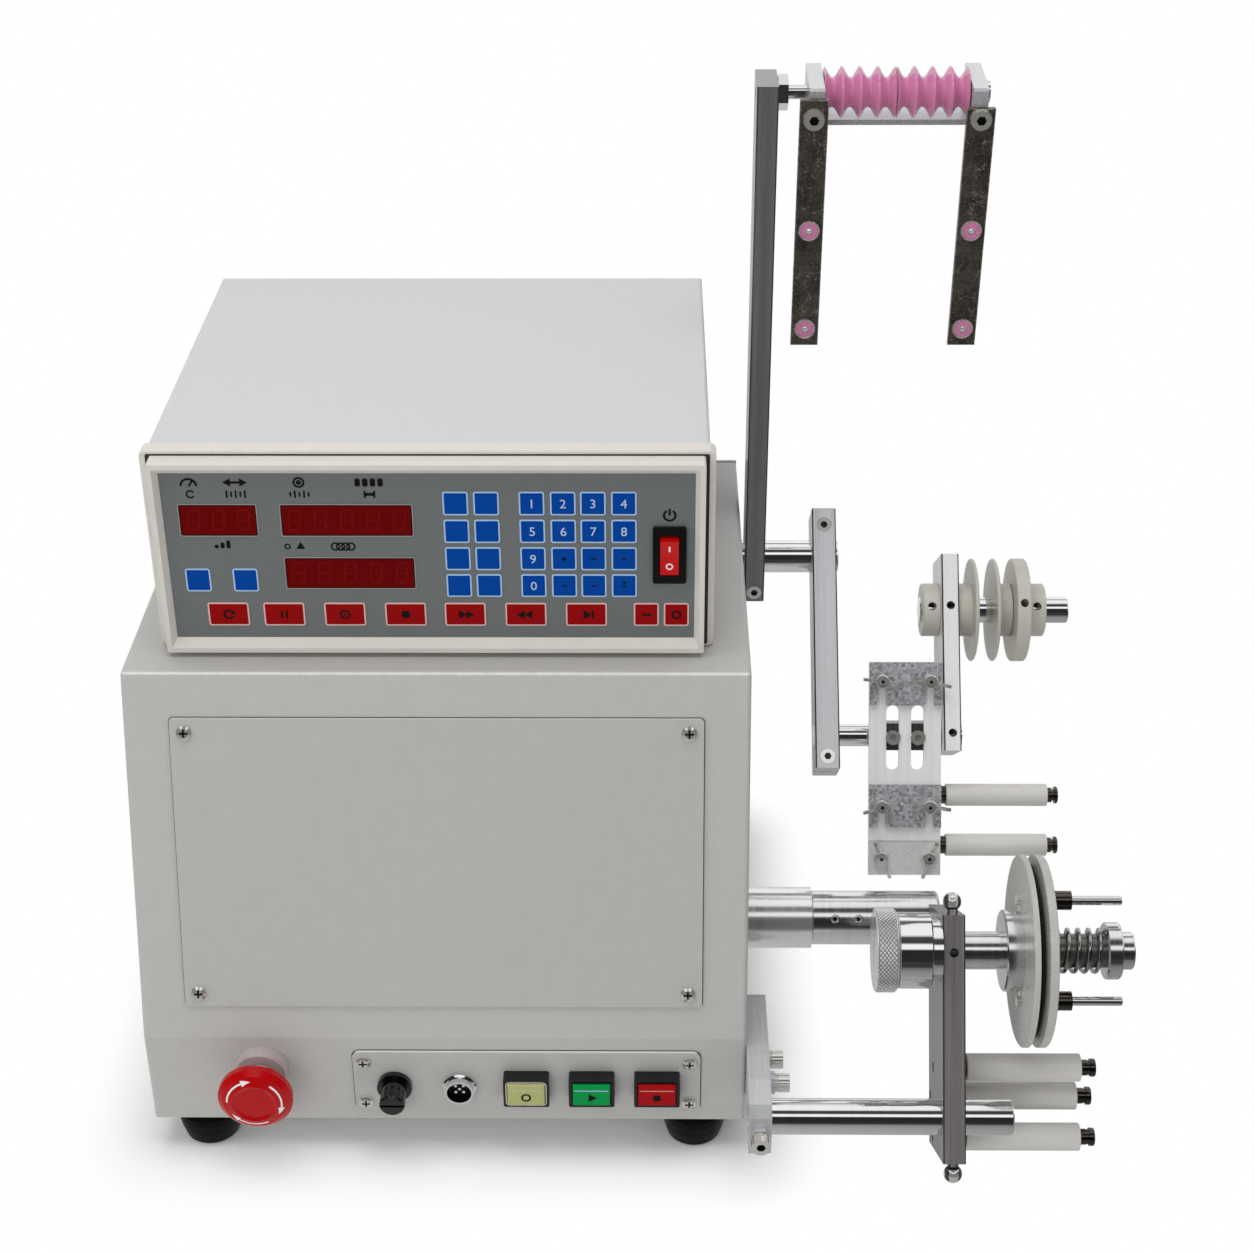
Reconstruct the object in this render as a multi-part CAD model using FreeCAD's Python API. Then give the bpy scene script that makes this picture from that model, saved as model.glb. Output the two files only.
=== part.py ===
import FreeCAD, Part
import math
import os

# Bobbin winding machine: a sheet metal case on four rubber feet with a
# controller box on its top, a winding spindle, a wire tension wheel and
# wire guides that stand on its right side.
# Millimetres. X is to the right, Y to the back, Z up. The origin is on the
# bench, under the middle of the case.

Vector = FreeCAD.Vector
X_AXIS = Vector(1, 0, 0)
Y_AXIS = Vector(0, 1, 0)
Z_AXIS = Vector(0, 0, 1)
ORIGIN = Vector(0, 0, 0)

# Clearances
running_clearance = 0.05
screw_clearance = 0.1
side_gap = 0.3
sheet_gap = 0.2

# Case
case_width = 325.0
case_depth = 301.0
case_height = 253.5
case_sheet = 1.5
case_corner_radius = 2.5
lower_front_height = 55.2
front_setback = 52.7
rear_flange = 12.0
base_sheet = 2.0
rear_sheet = 1.5

# Chamfer of small turned pieces
turned_edge = 0.8

# Feet
foot_height = 22.0
foot_top_radius = 18.0
foot_bottom_radius = 15.0
foot_x = 135.0
foot_y = 134.0
foot_screw_hole = 2.6

# How far the case's sheet reaches below the line its heights are measured from
case_skirt = 2.0

# Front plate on the sloped face, measured up the slope from the bend
front_plate_width = 276.5
front_plate_low = 19.3
front_plate_high = 180.8
front_plate_thickness = 1.5
front_plate_corner = 2.0
front_window_inset = 18.0
front_screw_inset = 7.6

# Instrument plate on the vertical strip
instrument_plate_width = 188.2
instrument_plate_height = 42.2
instrument_plate_thickness = 1.5
instrument_plate_x = 43.6
instrument_plate_z = 25.6
instrument_plate_corner = 4.0
instrument_screw_inset_x = 5.8
instrument_screw_inset_z = 7.0
instrument_plate_left = instrument_plate_x - instrument_plate_width / 2
instrument_plate_right = instrument_plate_x + instrument_plate_width / 2

# Pan head screws of the panels
panel_head_radius = 4.2
panel_head_height = 2.4
panel_shank_radius = 2.0
panel_shank_length = 8.0
cross_width = 1.1
cross_length = 4.6
cross_depth = 1.3

# Places of the push buttons, from the plate's right end
button_last_inset = 23.4
button_pitch = 35.4
button_first_x = instrument_plate_right - button_last_inset - 2 * button_pitch

# Fuse holder
fuse_inset = 22.1
fuse_x = instrument_plate_left + fuse_inset
fuse_z = 23.5
fuse_flange_radius = 9.5
fuse_flange_thickness = 3.0
fuse_neck_radius = 8.2
fuse_neck_length = 4.2
fuse_body_radius = 6.0
fuse_body_length = 30.0
fuse_cap_radius = 6.9
fuse_cap_length = 12.6
fuse_stub_radius = 4.0
fuse_stub_length = 12.0
fuse_slot_width = 1.4
fuse_slot_depth = 1.6
fuse_grip_count = 12
fuse_grip_radius = 0.7

# Foot pedal socket, near the middle between the fuse and the first button
socket_off_middle = 0.55
socket_x = (fuse_x + button_first_x) / 2 - socket_off_middle
socket_z = 23.0
socket_flange_radius = 9.2
socket_flange_thickness = 2.5
socket_flange_chamfer = 0.8
socket_barrel_radius = 7.9
socket_barrel_length = 6.2
socket_bore_radius = 6.7
socket_bore_depth = 7.5
socket_body_length = 16.0
socket_pin_radius = 0.8
socket_pin_length = 4.0
socket_pin_circle = 3.0
socket_pin_count = 4
socket_pin_turn = 45.0

# Push buttons
button_z = 24.2
button_width = 24.8
button_height = 19.0
button_projection = 7.5
button_rim = 2.0
button_pocket_depth = 7.0
button_body_width = 20.0
button_body_height = 15.0
button_body_length = 26.0
button_cap_projection = 1.5
button_cap_thickness = 5.0
button_stem_radius = 3.0
button_stem_length = 9.0

# Emergency stop
estop_x = -100.0
estop_z = 34.5
estop_collar_radius = 14.8
estop_collar_length = 7.0
estop_body_radius = 11.0
estop_body_length = 34.0
estop_stem_radius = 8.0
estop_stem_inner_length = 18.0
estop_head_radius = 20.0
estop_head_rim = 7.5
estop_head_dome = 4.5
estop_head_gap = 10.0
estop_neck_radius = 12.0
estop_skirt = 4.0

# Controller box
controller_width = 278.0
controller_height = 107.8
controller_depth = 247.0
controller_front = 67.6
controller_lift = 3.0
controller_x = -0.9
controller_sheet = 1.2
controller_foot_radius = 7.0
controller_foot_inset = 20.0
controller_foot_rear_inset = 30.0
tray_front_height = 12.0
tray_side_height = 15.0
bezel_depth = 11.2
bezel_lip = 2.7
bezel_splay_side = 2.4
bezel_splay_low = 4.3
bezel_splay_high = 3.5
bezel_wall = 1.4
collar_ring_overhang = 5.2
collar_ring_depth = 9.0
collar_ring_rise = 2.8
collar_ring_drop = 2.4
collar_ring_corner = 3.5
cover_overhang = 2.4
cover_rise = 2.0
panel_recess = 4.0
panel_thickness = 1.5
control_board_thickness = 1.6
control_board_stand = 8.0
control_board_inset = 8.0
control_post_radius = 3.0
control_post_inset = 5.0

# Power switch in the control panel
switch_inset = 18.0
switch_x = controller_x + controller_width / 2 - switch_inset
switch_z = 312.5
switch_width = 17.0
switch_height = 32.0
switch_rim_thickness = 2.0
switch_body_width = 13.0
switch_body_height = 26.0
switch_body_depth = 22.0
rocker_width = 9.4
rocker_height = 20.6
rocker_depth = 7.0
rocker_tilt = 7.0
rocker_pocket_depth = 12.0
rocker_stand = 3.4
rocker_tip_depth = 5.5

# Winding spindle
spindle_y = 85.0
spindle_z = 71.5
sleeve_radius = 17.1
sleeve_right = 201.2
sleeve_left = 96.0
sleeve_flange_radius = 30.0
sleeve_flange_thickness = 9.0
bearing_outer_radius = 14.0
bearing_width = 9.0
spindle_shaft_radius = 7.5
spindle_left = 62.0
spindle_nose_radius = 15.1
spindle_nose_right = 273.0
spindle_nose_chamfer = 1.5
mandrel_bore_radius = 6.0
mandrel_bore_depth = 45.0
grub_hole_radius = 2.5
grub_hole_angle = 34.0
grub_hole_x = (214.1, 227.2, 236.7)

# Drive inside the case
pulley_radius = 22.0
pulley_width = 16.0
pulley_flange = 2.0
pulley_flange_rise = 2.5
pulley_x = 70.0
belt_thickness = 2.0
belt_running_gap = 0.3
motor_distance_y = 112.0
motor_size = 86.0
motor_length = 96.0
motor_shaft_radius = 7.0
motor_shaft_inside = 50.0
motor_bore_depth = 60.0
motor_pilot_radius = 36.5
motor_pilot_length = 2.0
motor_corner_radius = 6.0
motor_shaft_gap = 12.0
supply_length = 160.0
supply_width = 98.0
supply_height = 40.0
supply_side_gap = 12.0
supply_rear_gap = 25.0
supply_slot_count = 6
supply_slot_pitch = 14.0
supply_slot_width = 5.0
supply_slot_inset = 12.0
supply_slot_start = 20.0

# Upper shaft
shaft_radius = 9.5
upper_shaft_y = 238.0
upper_shaft_z = 221.0
upper_shaft_end = 221.0
shaft_flange_radius = 20.0
shaft_flange_thickness = 6.0
shaft_end_chamfer = 0.8
shaft_inside = 14.0

# Long arm
long_arm_gap = 3.3
long_arm_width = 11.5
long_arm_depth = 32.0
long_arm_below = 21.5
axle_rise = 278.9
long_arm_above_axle = 7.6
long_arm_top = axle_rise + long_arm_above_axle
clamp_slit = 1.6
arm_screw_radius = 2.5
arm_screw_head_radius = 4.3
arm_screw_head_height = 2.6
arm_screw_below = 15.8
arm_edge_chamfer = 0.8

# Wire guide fork at the top
guide_axle_radius = 3.8
guide_axle_thread_radius = 3.0
guide_nut_radius = 9.5
guide_nut_start = 0.2
guide_nut_thickness = 5.2
guide_nut_turn = 20.0
fork_lean = -4.0
fork_left = 193.0
fork_block_thickness = 8.0
fork_inner_width = 77.0
fork_block_depth = 40.0
fork_block_above = 9.0
fork_block_below = 14.9
fork_plate_thickness = 3.0
fork_plate_width = 20.0
fork_plate_front = 1.0
guide_axle_head = 2.6
guide_axle_head_radius = 6.0
ceramic_radius = 13.3
ceramic_root_radius = 7.6
ceramic_grooves = 4
ceramic_end_gap = 0.4
hanging_bar_width = 15.0
hanging_bar_thickness = 3.0
hanging_bar_lip = 4.0
hanging_bar_left = 195.4
hanging_bar_spacing = 86.9
hanging_bar_tops = (4.2, -0.6)
hanging_bar_low = -137.0
hanging_screw_z = -5.9
eyelet_heights = (-68.6, -126.8)
eyelet_radius = 5.4
eyelet_flange = 1.2
eyelet_body_radius = 4.2
eyelet_bore_radius = 2.0
fork_screw_radius = 2.5
fork_screw_head_radius = 5.4
fork_screw_head_height = 3.2
fork_screw_length = 14.0
fork_screw_hole_depth = 12.0
hanging_lip_drop = 22.0

# Middle arm, clamped on the upper shaft
middle_arm_lean = 43.0
middle_arm_left = 205.3
middle_arm_width = 14.0
middle_arm_depth = 29.0
middle_arm_length = 107.3
middle_arm_above = 25.5
middle_arm_below = 21.5
middle_screw_offset = 15.6

# Middle shaft
middle_shaft_radius = 6.4
middle_washer_radius = 7.6
middle_washer_thickness = 1.8

# Slotted guide plates on the middle shaft
plates_lean = 28.0
plates_left = 236.3
plates_width = 41.4
carrier_half_height = 7.8
carrier_back = 10.5
carrier_front = 9.8
carrier_side_inset = 3.5
main_plate_thickness = 3.0
main_plate_up = 43.3
main_plate_down = 59.8
plate_slot_width = 7.3
plate_slot_spacing = 14.3
plate_slot_up = 18.4
plate_slot_down = 18.9
felt_thickness = 1.5
clamp_plate_thickness = 1.5
clamp_plate_height = 24.7
clamp_slot_width = 5.0
clamp_slot_spacing = 27.5
upper_clamp_bolt = 32.5
lower_clamp_bolt = -39.7
bottom_clamp_bolt = -69.7
clamp_plate_low_edge = 18.6
lower_clamp_low_edge = -51.8
bottom_plate_height = 19.8
roller_block_depth = 14.0
roller_block_inset = 1.7
roller_block_top = -26.9
carrier_screw_radius = 2.4
carrier_screw_head_radius = 4.2
carrier_screw_head_height = 3.2
carrier_screw_grip = 3.0
wing_stud_grip = 4.0
screw_hole_spare = 0.4
wing_stud_radius = 1.9
wing_stud_socket_radius = 1.1
wing_hub_radius = 4.2
wing_hub_fillet = 1.0
wing_hub_height = 5.0
wing_span = 11.5
wing_thickness = 1.8
wing_root_low = 1.0
wing_root_high = 4.6
wing_tip_low = 6.6
wing_height = 9.4
wing_corner = 0.8
wing_stud_front = 2.0
upper_wing_turns = (8, 14)
lower_wing_turns = (-14, 4)
bottom_wing_turns = (66, 112)
plate_roller_heights = (-34.3, -63.4)
plate_roller_back = 7.0
plate_roller_radius = 6.4
plate_roller_collar = 3.6
plate_roller_length = 58.4
plate_roller_tail = 6.2
roller_pin_inside = 20.0
roller_hole_spare = 2.0

# Small rollers in general
roller_pin_radius = 3.0
roller_collar_radius = 5.2
roller_tail_radius = 4.9
roller_tail_step = 0.6
roller_groove_place = 0.45
roller_groove_width = 1.6
roller_groove_depth = 1.0

# Guide arm on the middle shaft, with the flanged guide wheels
guide_arm_lean = 37.5
guide_arm_gap = 0.8
guide_arm_width = 10.0
guide_arm_depth = 40.0
guide_arm_length = 73.6
guide_arm_below = 10.2
guide_arm_above = 30.0
guide_shaft_radius = 7.6
guide_shaft_left = 267.3
guide_shaft_right = 353.6
collar_radius = 15.4
left_collar_left = 268.5
flange_radius = 30.0
flange_disc_thickness = 2.0
left_hub_length = 8.0
flange_gap = 10.4
right_hub_length = 9.0
thick_disc_thickness = 8.0
right_collar_length = 11.0
set_screw_radius = 2.4

# Bracket and lower shaft
bracket_gap = 0.0
bracket_thickness = 12.0
bracket_front = 13.5
bracket_back = 75.5
bracket_above = 20.0
bracket_below = 13.5
bracket_front_above = 10.6
bracket_chamfer = 6.0
bracket_slope_length = 33.0
bracket_slope_rise = 4.4
bracket_slope_drop = 2.1
lower_shaft_y = -31.0
lower_shaft_z = 29.0
lower_shaft_end = 302.5
bracket_screw_y = (5.0, 24.0)
bracket_screw_stand = (2.6, 0.0)
bracket_screw_z = 20.0
bracket_screw_radius = 3.0
bracket_screw_head_radius = 5.1
bracket_screw_head_height = 6.0
washer_radius = 6.2
washer_thickness = 1.6
spring_washer_radius = 4.9
spring_washer_thickness = 2.0
lock_screw_shank_visible = 4.5
lock_nut_thickness = 3.0
side_screw_grip = 8.0

# Tension arm on the lower shaft
tension_arm_lean = 32.0
tension_arm_left = 264.5
tension_arm_width = 12.0
tension_arm_front = 12.0
tension_arm_back = 48.0
tension_arm_below = 22.5
tension_arm_length = 88.0
tension_arm_above = 19.7
ball_radius = 4.9
ball_neck_radius = 3.0
ball_neck = 1.6
ball_forward = 4.0
ball_shank = 7.0
ball_hole_spare = 1.0
ball_socket_radius = 1.6
lower_roller_places = ((-29.4, 21.3), (-42.6, 3.7), (-33.0, -16.8))
lower_roller_radius = 7.5
lower_roller_collar = 5.4
lower_roller_length = 61.8
lower_roller_tail = 8.2
lower_roller_groove_depth = 0.3

# Tension wheel and its brake
brake_collar_radius = 17.0
brake_collar_length = 5.3
brake_drum_radius = 20.2
brake_drum_length = 18.0
brake_knob_radius = 22.4
brake_knob_length = 11.5
brake_knob_recess_radius = 8.0
brake_knob_recess_depth = 3.0
brake_stud_radius = 6.0
brake_stud_length = 7.0
brake_bore_depth = 10.0
brake_bore_clearance = 0.3
tension_shaft_radius = 10.0
tension_core_radius = 9.0
tension_shaft_end = 366.5
wheel_hub_left = 297.1
wheel_hub_radius = 21.6
wheel_hub_length = 9.4
wheel_disc_radius = 50.8
inner_disc_thickness = 4.5
outer_disc_thickness = 6.0
wheel_disc_gap = 2.0
wheel_bevel_width = 12.0
wheel_bevel_depth = 1.5
wheel_pin_circle = 26.6
hub_screw_circle = 26.8
hub_screw_radius = 1.5
hub_screw_head_radius = 3.0
hub_screw_head_height = 1.6
wheel_spacer_radius = 5.1
wheel_spacer_length = 15.0
wheel_pin_radius = 2.5
wheel_pin_length = 27.0
spring_wire_radius = 1.2
spring_mean_radius = 11.0
spring_turns = 5.25
spring_end_gap = 0.3
end_collar_left = 351.3
end_collar_radius = 15.1
end_collar_length = 8.1

# Places that follow from the sizes
low_z = foot_height
base_z = low_z + case_skirt
top_z = base_z + case_height
front_y = -case_depth / 2
rear_y = case_depth / 2
side_x = case_width / 2
slope_angle = math.degrees(math.atan2(front_setback, case_height - lower_front_height))


def from_front(y):
    """A place given from the plane of the lower front, in the part's frame."""
    return front_y + y


def from_case(z):
    """A height given from the line just above the case's bottom edge, in the part's frame."""
    return base_z + z


# Basic solids
def box(x0, x1, y0, y1, z0, z1):
    return Part.makeBox(x1 - x0, y1 - y0, z1 - z0, Vector(x0, y0, z0))


def rod_x(radius, x0, x1, y=0.0, z=0.0):
    return Part.makeCylinder(radius, x1 - x0, Vector(x0, y, z), X_AXIS)


def rod_y(radius, y0, y1, x=0.0, z=0.0):
    return Part.makeCylinder(radius, y1 - y0, Vector(x, y0, z), Y_AXIS)


def rod_z(radius, z0, z1, x=0.0, y=0.0):
    return Part.makeCylinder(radius, z1 - z0, Vector(x, y, z0), Z_AXIS)


def turned_x(points, y=0.0, z=0.0):
    """A solid turned about the X direction from (x, radius) points."""
    corners = [Vector(x, 0, r) for x, r in points]
    wire = Part.makePolygon(corners + [corners[0]])
    solid = Part.Face(wire).revolve(ORIGIN, X_AXIS, 360)
    solid.translate(Vector(0, y, z))
    return solid


def turned_z(points, x=0.0, y=0.0):
    """A solid turned about the Z direction from (radius, z) points."""
    corners = [Vector(r, 0, z) for r, z in points]
    wire = Part.makePolygon(corners + [corners[0]])
    solid = Part.Face(wire).revolve(ORIGIN, Z_AXIS, 360)
    solid.translate(Vector(x, y, 0))
    return solid


def extruded_x(points, x0, x1):
    """A solid of the outline given as (y, z) points, from x0 to x1."""
    corners = [Vector(x0, y, z) for y, z in points]
    wire = Part.makePolygon(corners + [corners[0]])
    return Part.Face(wire).extrude(Vector(x1 - x0, 0, 0))


def rounded_plate(x0, x1, y0, y1, z0, z1, radius):
    """A plate in the XZ plane with rounded corners."""
    plate = box(x0, x1, y0, y1, z0, z1)
    edges = [e for e in plate.Edges if abs(e.tangentAt(e.FirstParameter).y) > 0.99]
    return plate.makeFillet(radius, edges)


def cut_all(solid, tools):
    return solid.cut(Part.makeCompound(tools)) if tools else solid


def lean_to(shape, y, z, lean):
    """Tilt a shape made upright at the origin so that its top leans back, and place it."""
    placed = shape.copy()
    placed.rotate(ORIGIN, X_AXIS, -lean)
    placed.translate(Vector(0, y, z))
    return placed


def lean_point(y, z, lean, forward, up):
    """The (y, z) of a point that lies forward and up of a leaning part's own origin."""
    angle = math.radians(lean)
    return (y - forward * math.cos(angle) + up * math.sin(angle),
            z + forward * math.sin(angle) + up * math.cos(angle))


def hexagon_x(across_radius, x0, x1):
    """A hexagonal bar along X, by the radius to its corners."""
    points = [(across_radius * math.cos(math.radians(60 * i)),
               across_radius * math.sin(math.radians(60 * i))) for i in range(6)]
    return extruded_x(points, x0, x1)


# Fasteners, all made along X with the head's seat at x = 0 and the head on +X
def socket_screw(head_radius, head_height, shank_radius, shank_length):
    body = rod_x(head_radius, 0, head_height).fuse(rod_x(shank_radius, -shank_length, 0))
    socket_radius = head_radius * 0.5
    return body.cut(hexagon_x(socket_radius, head_height * 0.45, head_height + 1))


def pan_screw():
    radius = panel_head_radius
    height = panel_head_height
    head = turned_x([(0, 0), (0, radius), (height * 0.45, radius * 0.95),
                     (height * 0.85, radius * 0.62), (height, 0)])
    body = head.fuse(rod_x(panel_shank_radius, -panel_shank_length, 0))
    half = cross_length / 2
    start = height - cross_depth
    cross = box(start, height + 1, -half, half, -cross_width / 2, cross_width / 2)
    other = box(start, height + 1, -cross_width / 2, cross_width / 2, -half, half)
    return body.cut(cross).cut(other)


def facing_front(shape):
    """Turn a shape made along +X so that it points to the front, along -Y."""
    turned = shape.copy()
    turned.rotate(ORIGIN, Z_AXIS, -90)
    return turned


def facing_back(shape):
    turned = shape.copy()
    turned.rotate(ORIGIN, Z_AXIS, 90)
    return turned


def moved(shape, x, y, z):
    copy = shape.copy()
    copy.translate(Vector(x, y, z))
    return copy


# Case
def case_profile(inset, overrun):
    """The side outline of the case, moved inwards, and run past the open bottom."""
    angle = math.radians(slope_angle)
    y_front = front_y + inset
    z_top = top_z - inset
    bend_z = base_z + lower_front_height - inset * math.tan(angle / 2)
    top_y = front_y + front_setback + inset * math.tan((math.pi / 2 - angle) / 2)
    return [(y_front, low_z - overrun), (y_front, bend_z), (top_y, z_top),
            (rear_y - rear_sheet - inset, z_top), (rear_y - rear_sheet - inset, low_z - overrun)]


def front_screw_places():
    across = front_plate_width / 2 - front_screw_inset
    return [(x, s) for x in (-across, across)
            for s in (front_plate_low + front_screw_inset, front_plate_high - front_screw_inset)]


def instrument_screw_places():
    across = instrument_plate_width / 2 - instrument_screw_inset_x
    rise = instrument_plate_height / 2 - instrument_screw_inset_z
    return [(instrument_plate_x + i * across, from_case(instrument_plate_z) + k * rise)
            for i in (-1, 1) for k in (-1, 1)]


def rear_screw_places():
    across = side_x - rear_flange / 2
    heights = (base_z + rear_flange, (base_z + top_z) / 2, top_z - rear_flange / 2)
    return [(x, z) for x in (-across, across) for z in heights]


def button_places():
    return [button_first_x + i * button_pitch for i in range(3)]


def front_control_holes(y0, y1, margin):
    """The holes that the front controls pass through."""
    holes = [rod_y(fuse_body_radius + margin, y0, y1, fuse_x, from_case(fuse_z)),
             rod_y(socket_barrel_radius + margin, y0, y1, socket_x, from_case(socket_z))]
    for x in button_places():
        holes.append(box(x - button_body_width / 2 - margin, x + button_body_width / 2 + margin,
                         y0, y1, from_case(button_z) - button_body_height / 2 - margin,
                         from_case(button_z) + button_body_height / 2 + margin))
    return holes


def make_case_shell():
    outer = extruded_x(case_profile(0, 0), -side_x, side_x)
    rounded = []
    for edge in outer.Edges:
        ends = [v.Point for v in edge.Vertexes]
        along_x = abs(ends[0].x - ends[1].x) > 1
        at_bottom = all(p.z < low_z + 0.1 for p in ends)
        at_rear = all(p.y > rear_y - rear_sheet - 0.1 for p in ends)
        if along_x and not at_bottom:
            rounded.append(edge)
        elif not at_bottom and not at_rear:
            rounded.append(edge)
    outer = outer.makeFillet(case_corner_radius, rounded)
    inner = extruded_x(case_profile(case_sheet, 1), -side_x + case_sheet, side_x - case_sheet)
    shell = outer.cut(inner)
    window = box(-side_x + rear_flange, side_x - rear_flange, rear_y - 10, rear_y + 1,
                 low_z - 1, top_z - rear_flange)
    half = front_plate_width / 2 - front_window_inset
    access = box(-half, half, -5, 5, front_plate_low + front_window_inset,
                 front_plate_high - front_window_inset)
    access = lean_to(access, front_y, base_z + lower_front_height, slope_angle)
    tools = [window, access]
    tools += front_control_holes(front_y - 1, front_y + 5, screw_clearance)
    tools.append(rod_y(estop_body_radius + screw_clearance, front_y - 1, front_y + 5,
                       estop_x, from_case(estop_z)))
    tools.append(rod_x(sleeve_radius + screw_clearance, side_x - 5, side_x + 1,
                       from_front(spindle_y), from_case(spindle_z)))
    tools.append(rod_x(shaft_radius + screw_clearance, side_x - 5, side_x + 1,
                       from_front(upper_shaft_y), from_case(upper_shaft_z)))
    for y in bracket_screw_y:
        tools.append(rod_x(bracket_screw_radius + screw_clearance, side_x - 5, side_x + 1,
                           from_front(y), from_case(bracket_screw_z)))
    for x, z in instrument_screw_places():
        tools.append(rod_y(panel_shank_radius + screw_clearance, front_y - 1, front_y + 5, x, z))
    for x, z in rear_screw_places():
        tools.append(rod_y(panel_shank_radius + screw_clearance, rear_y - 10, rear_y + 1, x, z))
    for x, s in front_screw_places():
        hole = rod_y(panel_shank_radius + screw_clearance, -5, 5, x, s)
        tools.append(lean_to(hole, front_y, base_z + lower_front_height, slope_angle))
    return cut_all(shell, tools)


def foot_places():
    return [(i * foot_x, k * foot_y) for i in (-1, 1) for k in (-1, 1)]


def make_base_plate():
    inset = case_sheet + sheet_gap
    plate = box(-side_x + inset, side_x - inset, front_y + inset,
                rear_y - rear_sheet - case_sheet - sheet_gap, low_z, low_z + base_sheet)
    return cut_all(plate, [rod_z(foot_screw_hole, low_z - 1, low_z + base_sheet + 1, x, y)
                           for x, y in foot_places()])


# Mains inlet on the rear cover
inlet_x = -110.0
inlet_z = 60.0
inlet_flange_width = 50.0
inlet_flange_height = 24.0
inlet_flange_thickness = 2.5
inlet_body_width = 29.0
inlet_body_height = 21.0
inlet_body_depth = 24.0
inlet_cavity_width = 24.5
inlet_cavity_height = 16.5
inlet_cavity_depth = 17.0
inlet_blade_width = 2.0
inlet_blade_height = 4.0
inlet_blade_spacing = 7.0
inlet_flange_corner = 5.0
vent_slot_count = 9
vent_slot_pitch = 11.0
vent_slot_width = 4.5
vent_slot_height = 60.0
vent_x = 50.0
vent_z = 150.0


def make_rear_cover():
    y0 = rear_y - rear_sheet
    cover = box(-side_x, side_x, y0, rear_y, low_z, top_z)
    tools = []
    for i in range(vent_slot_count):
        x = vent_x + (i - (vent_slot_count - 1) / 2) * vent_slot_pitch
        tools.append(box(x - vent_slot_width / 2, x + vent_slot_width / 2, y0 - 1, rear_y + 1,
                         from_case(vent_z) - vent_slot_height / 2,
                         from_case(vent_z) + vent_slot_height / 2))
    tools += [rod_y(panel_shank_radius + screw_clearance, y0 - 1, rear_y + 1, x, z)
              for x, z in rear_screw_places()]
    z = from_case(inlet_z)
    half_w = inlet_body_width / 2
    half_h = inlet_body_height / 2
    tools.append(box(inlet_x - half_w - sheet_gap, inlet_x + half_w + sheet_gap, y0 - 1,
                     rear_y + 1, z - half_h - sheet_gap, z + half_h + sheet_gap))
    cover = cut_all(cover, tools)
    flange = rounded_plate(inlet_x - inlet_flange_width / 2, inlet_x + inlet_flange_width / 2,
                           rear_y, rear_y + inlet_flange_thickness,
                           z - inlet_flange_height / 2, z + inlet_flange_height / 2, inlet_flange_corner)
    mouth = rear_y + inlet_flange_thickness
    inlet = flange.fuse(box(inlet_x - half_w, inlet_x + half_w, mouth - inlet_body_depth, mouth,
                            z - half_h, z + half_h))
    inlet = inlet.cut(box(inlet_x - inlet_cavity_width / 2, inlet_x + inlet_cavity_width / 2,
                          mouth - inlet_cavity_depth, mouth + 1,
                          z - inlet_cavity_height / 2, z + inlet_cavity_height / 2))
    for i in (-1, 0, 1):
        x = inlet_x + i * inlet_blade_spacing
        rise = 1.5 if i == 0 else -1.5
        inlet = inlet.fuse(box(x - inlet_blade_width / 2, x + inlet_blade_width / 2,
                               mouth - inlet_cavity_depth - 1, mouth - 3,
                               z + rise - inlet_blade_height / 2,
                               z + rise + inlet_blade_height / 2))
    return Part.makeCompound([cover, inlet.removeSplitter()])


def make_front_plate():
    half = front_plate_width / 2
    plate = rounded_plate(-half, half, -front_plate_thickness, 0,
                          front_plate_low, front_plate_high, front_plate_corner)
    holes = [rod_y(panel_shank_radius + screw_clearance, -5, 5, x, s)
             for x, s in front_screw_places()]
    plate = cut_all(plate, holes)
    return lean_to(plate, front_y, base_z + lower_front_height, slope_angle)


def make_instrument_plate():
    z = from_case(instrument_plate_z)
    half_w = instrument_plate_width / 2
    half_h = instrument_plate_height / 2
    plate = rounded_plate(instrument_plate_x - half_w, instrument_plate_x + half_w,
                          front_y - instrument_plate_thickness, front_y,
                          z - half_h, z + half_h, instrument_plate_corner)
    holes = front_control_holes(front_y - 5, front_y + 1, screw_clearance)
    holes += [rod_y(panel_shank_radius + screw_clearance, front_y - 5, front_y + 1, x, z)
              for x, z in instrument_screw_places()]
    return cut_all(plate, holes)


def make_panel_screws():
    screw = pan_screw()
    to_front = facing_front(screw)
    to_back = facing_back(screw)
    solids = []
    for x, s in front_screw_places():
        placed = moved(to_front, x, -front_plate_thickness, s)
        solids.append(lean_to(placed, front_y, base_z + lower_front_height, slope_angle))
    for x, z in instrument_screw_places():
        solids.append(moved(to_front, x, front_y - instrument_plate_thickness, z))
    for x, z in rear_screw_places():
        solids.append(moved(to_back, x, rear_y, z))
    return Part.makeCompound(solids)


def make_rubber_feet():
    top = foot_top_radius
    low = foot_bottom_radius
    high = foot_height
    profile = [(0, 0), (low - 1.5, 0), (low, 1.5), (low + (top - low) * 0.62, high * 0.38),
               (top, high * 0.7), (top, high - 3), (top - 2.5, high), (0, high)]
    foot = turned_z(profile)
    return Part.makeCompound([moved(foot, x, y, 0) for x, y in foot_places()])


# Front controls. Each is made with its panel face at y = 0 and placed on the instrument plate.
plate_face_y = front_y - instrument_plate_thickness


def make_fuse_holder():
    body = rod_y(fuse_flange_radius, -fuse_flange_thickness, 0)
    body = body.fuse(rod_y(fuse_neck_radius, -fuse_neck_length, 0))
    body = body.fuse(rod_y(fuse_body_radius, 0, fuse_body_length))
    pocket = rod_y(fuse_stub_radius + side_gap, -fuse_neck_length - 1,
                   fuse_stub_length - fuse_neck_length + 2)
    return moved(body.cut(pocket), fuse_x, plate_face_y, from_case(fuse_z))


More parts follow.
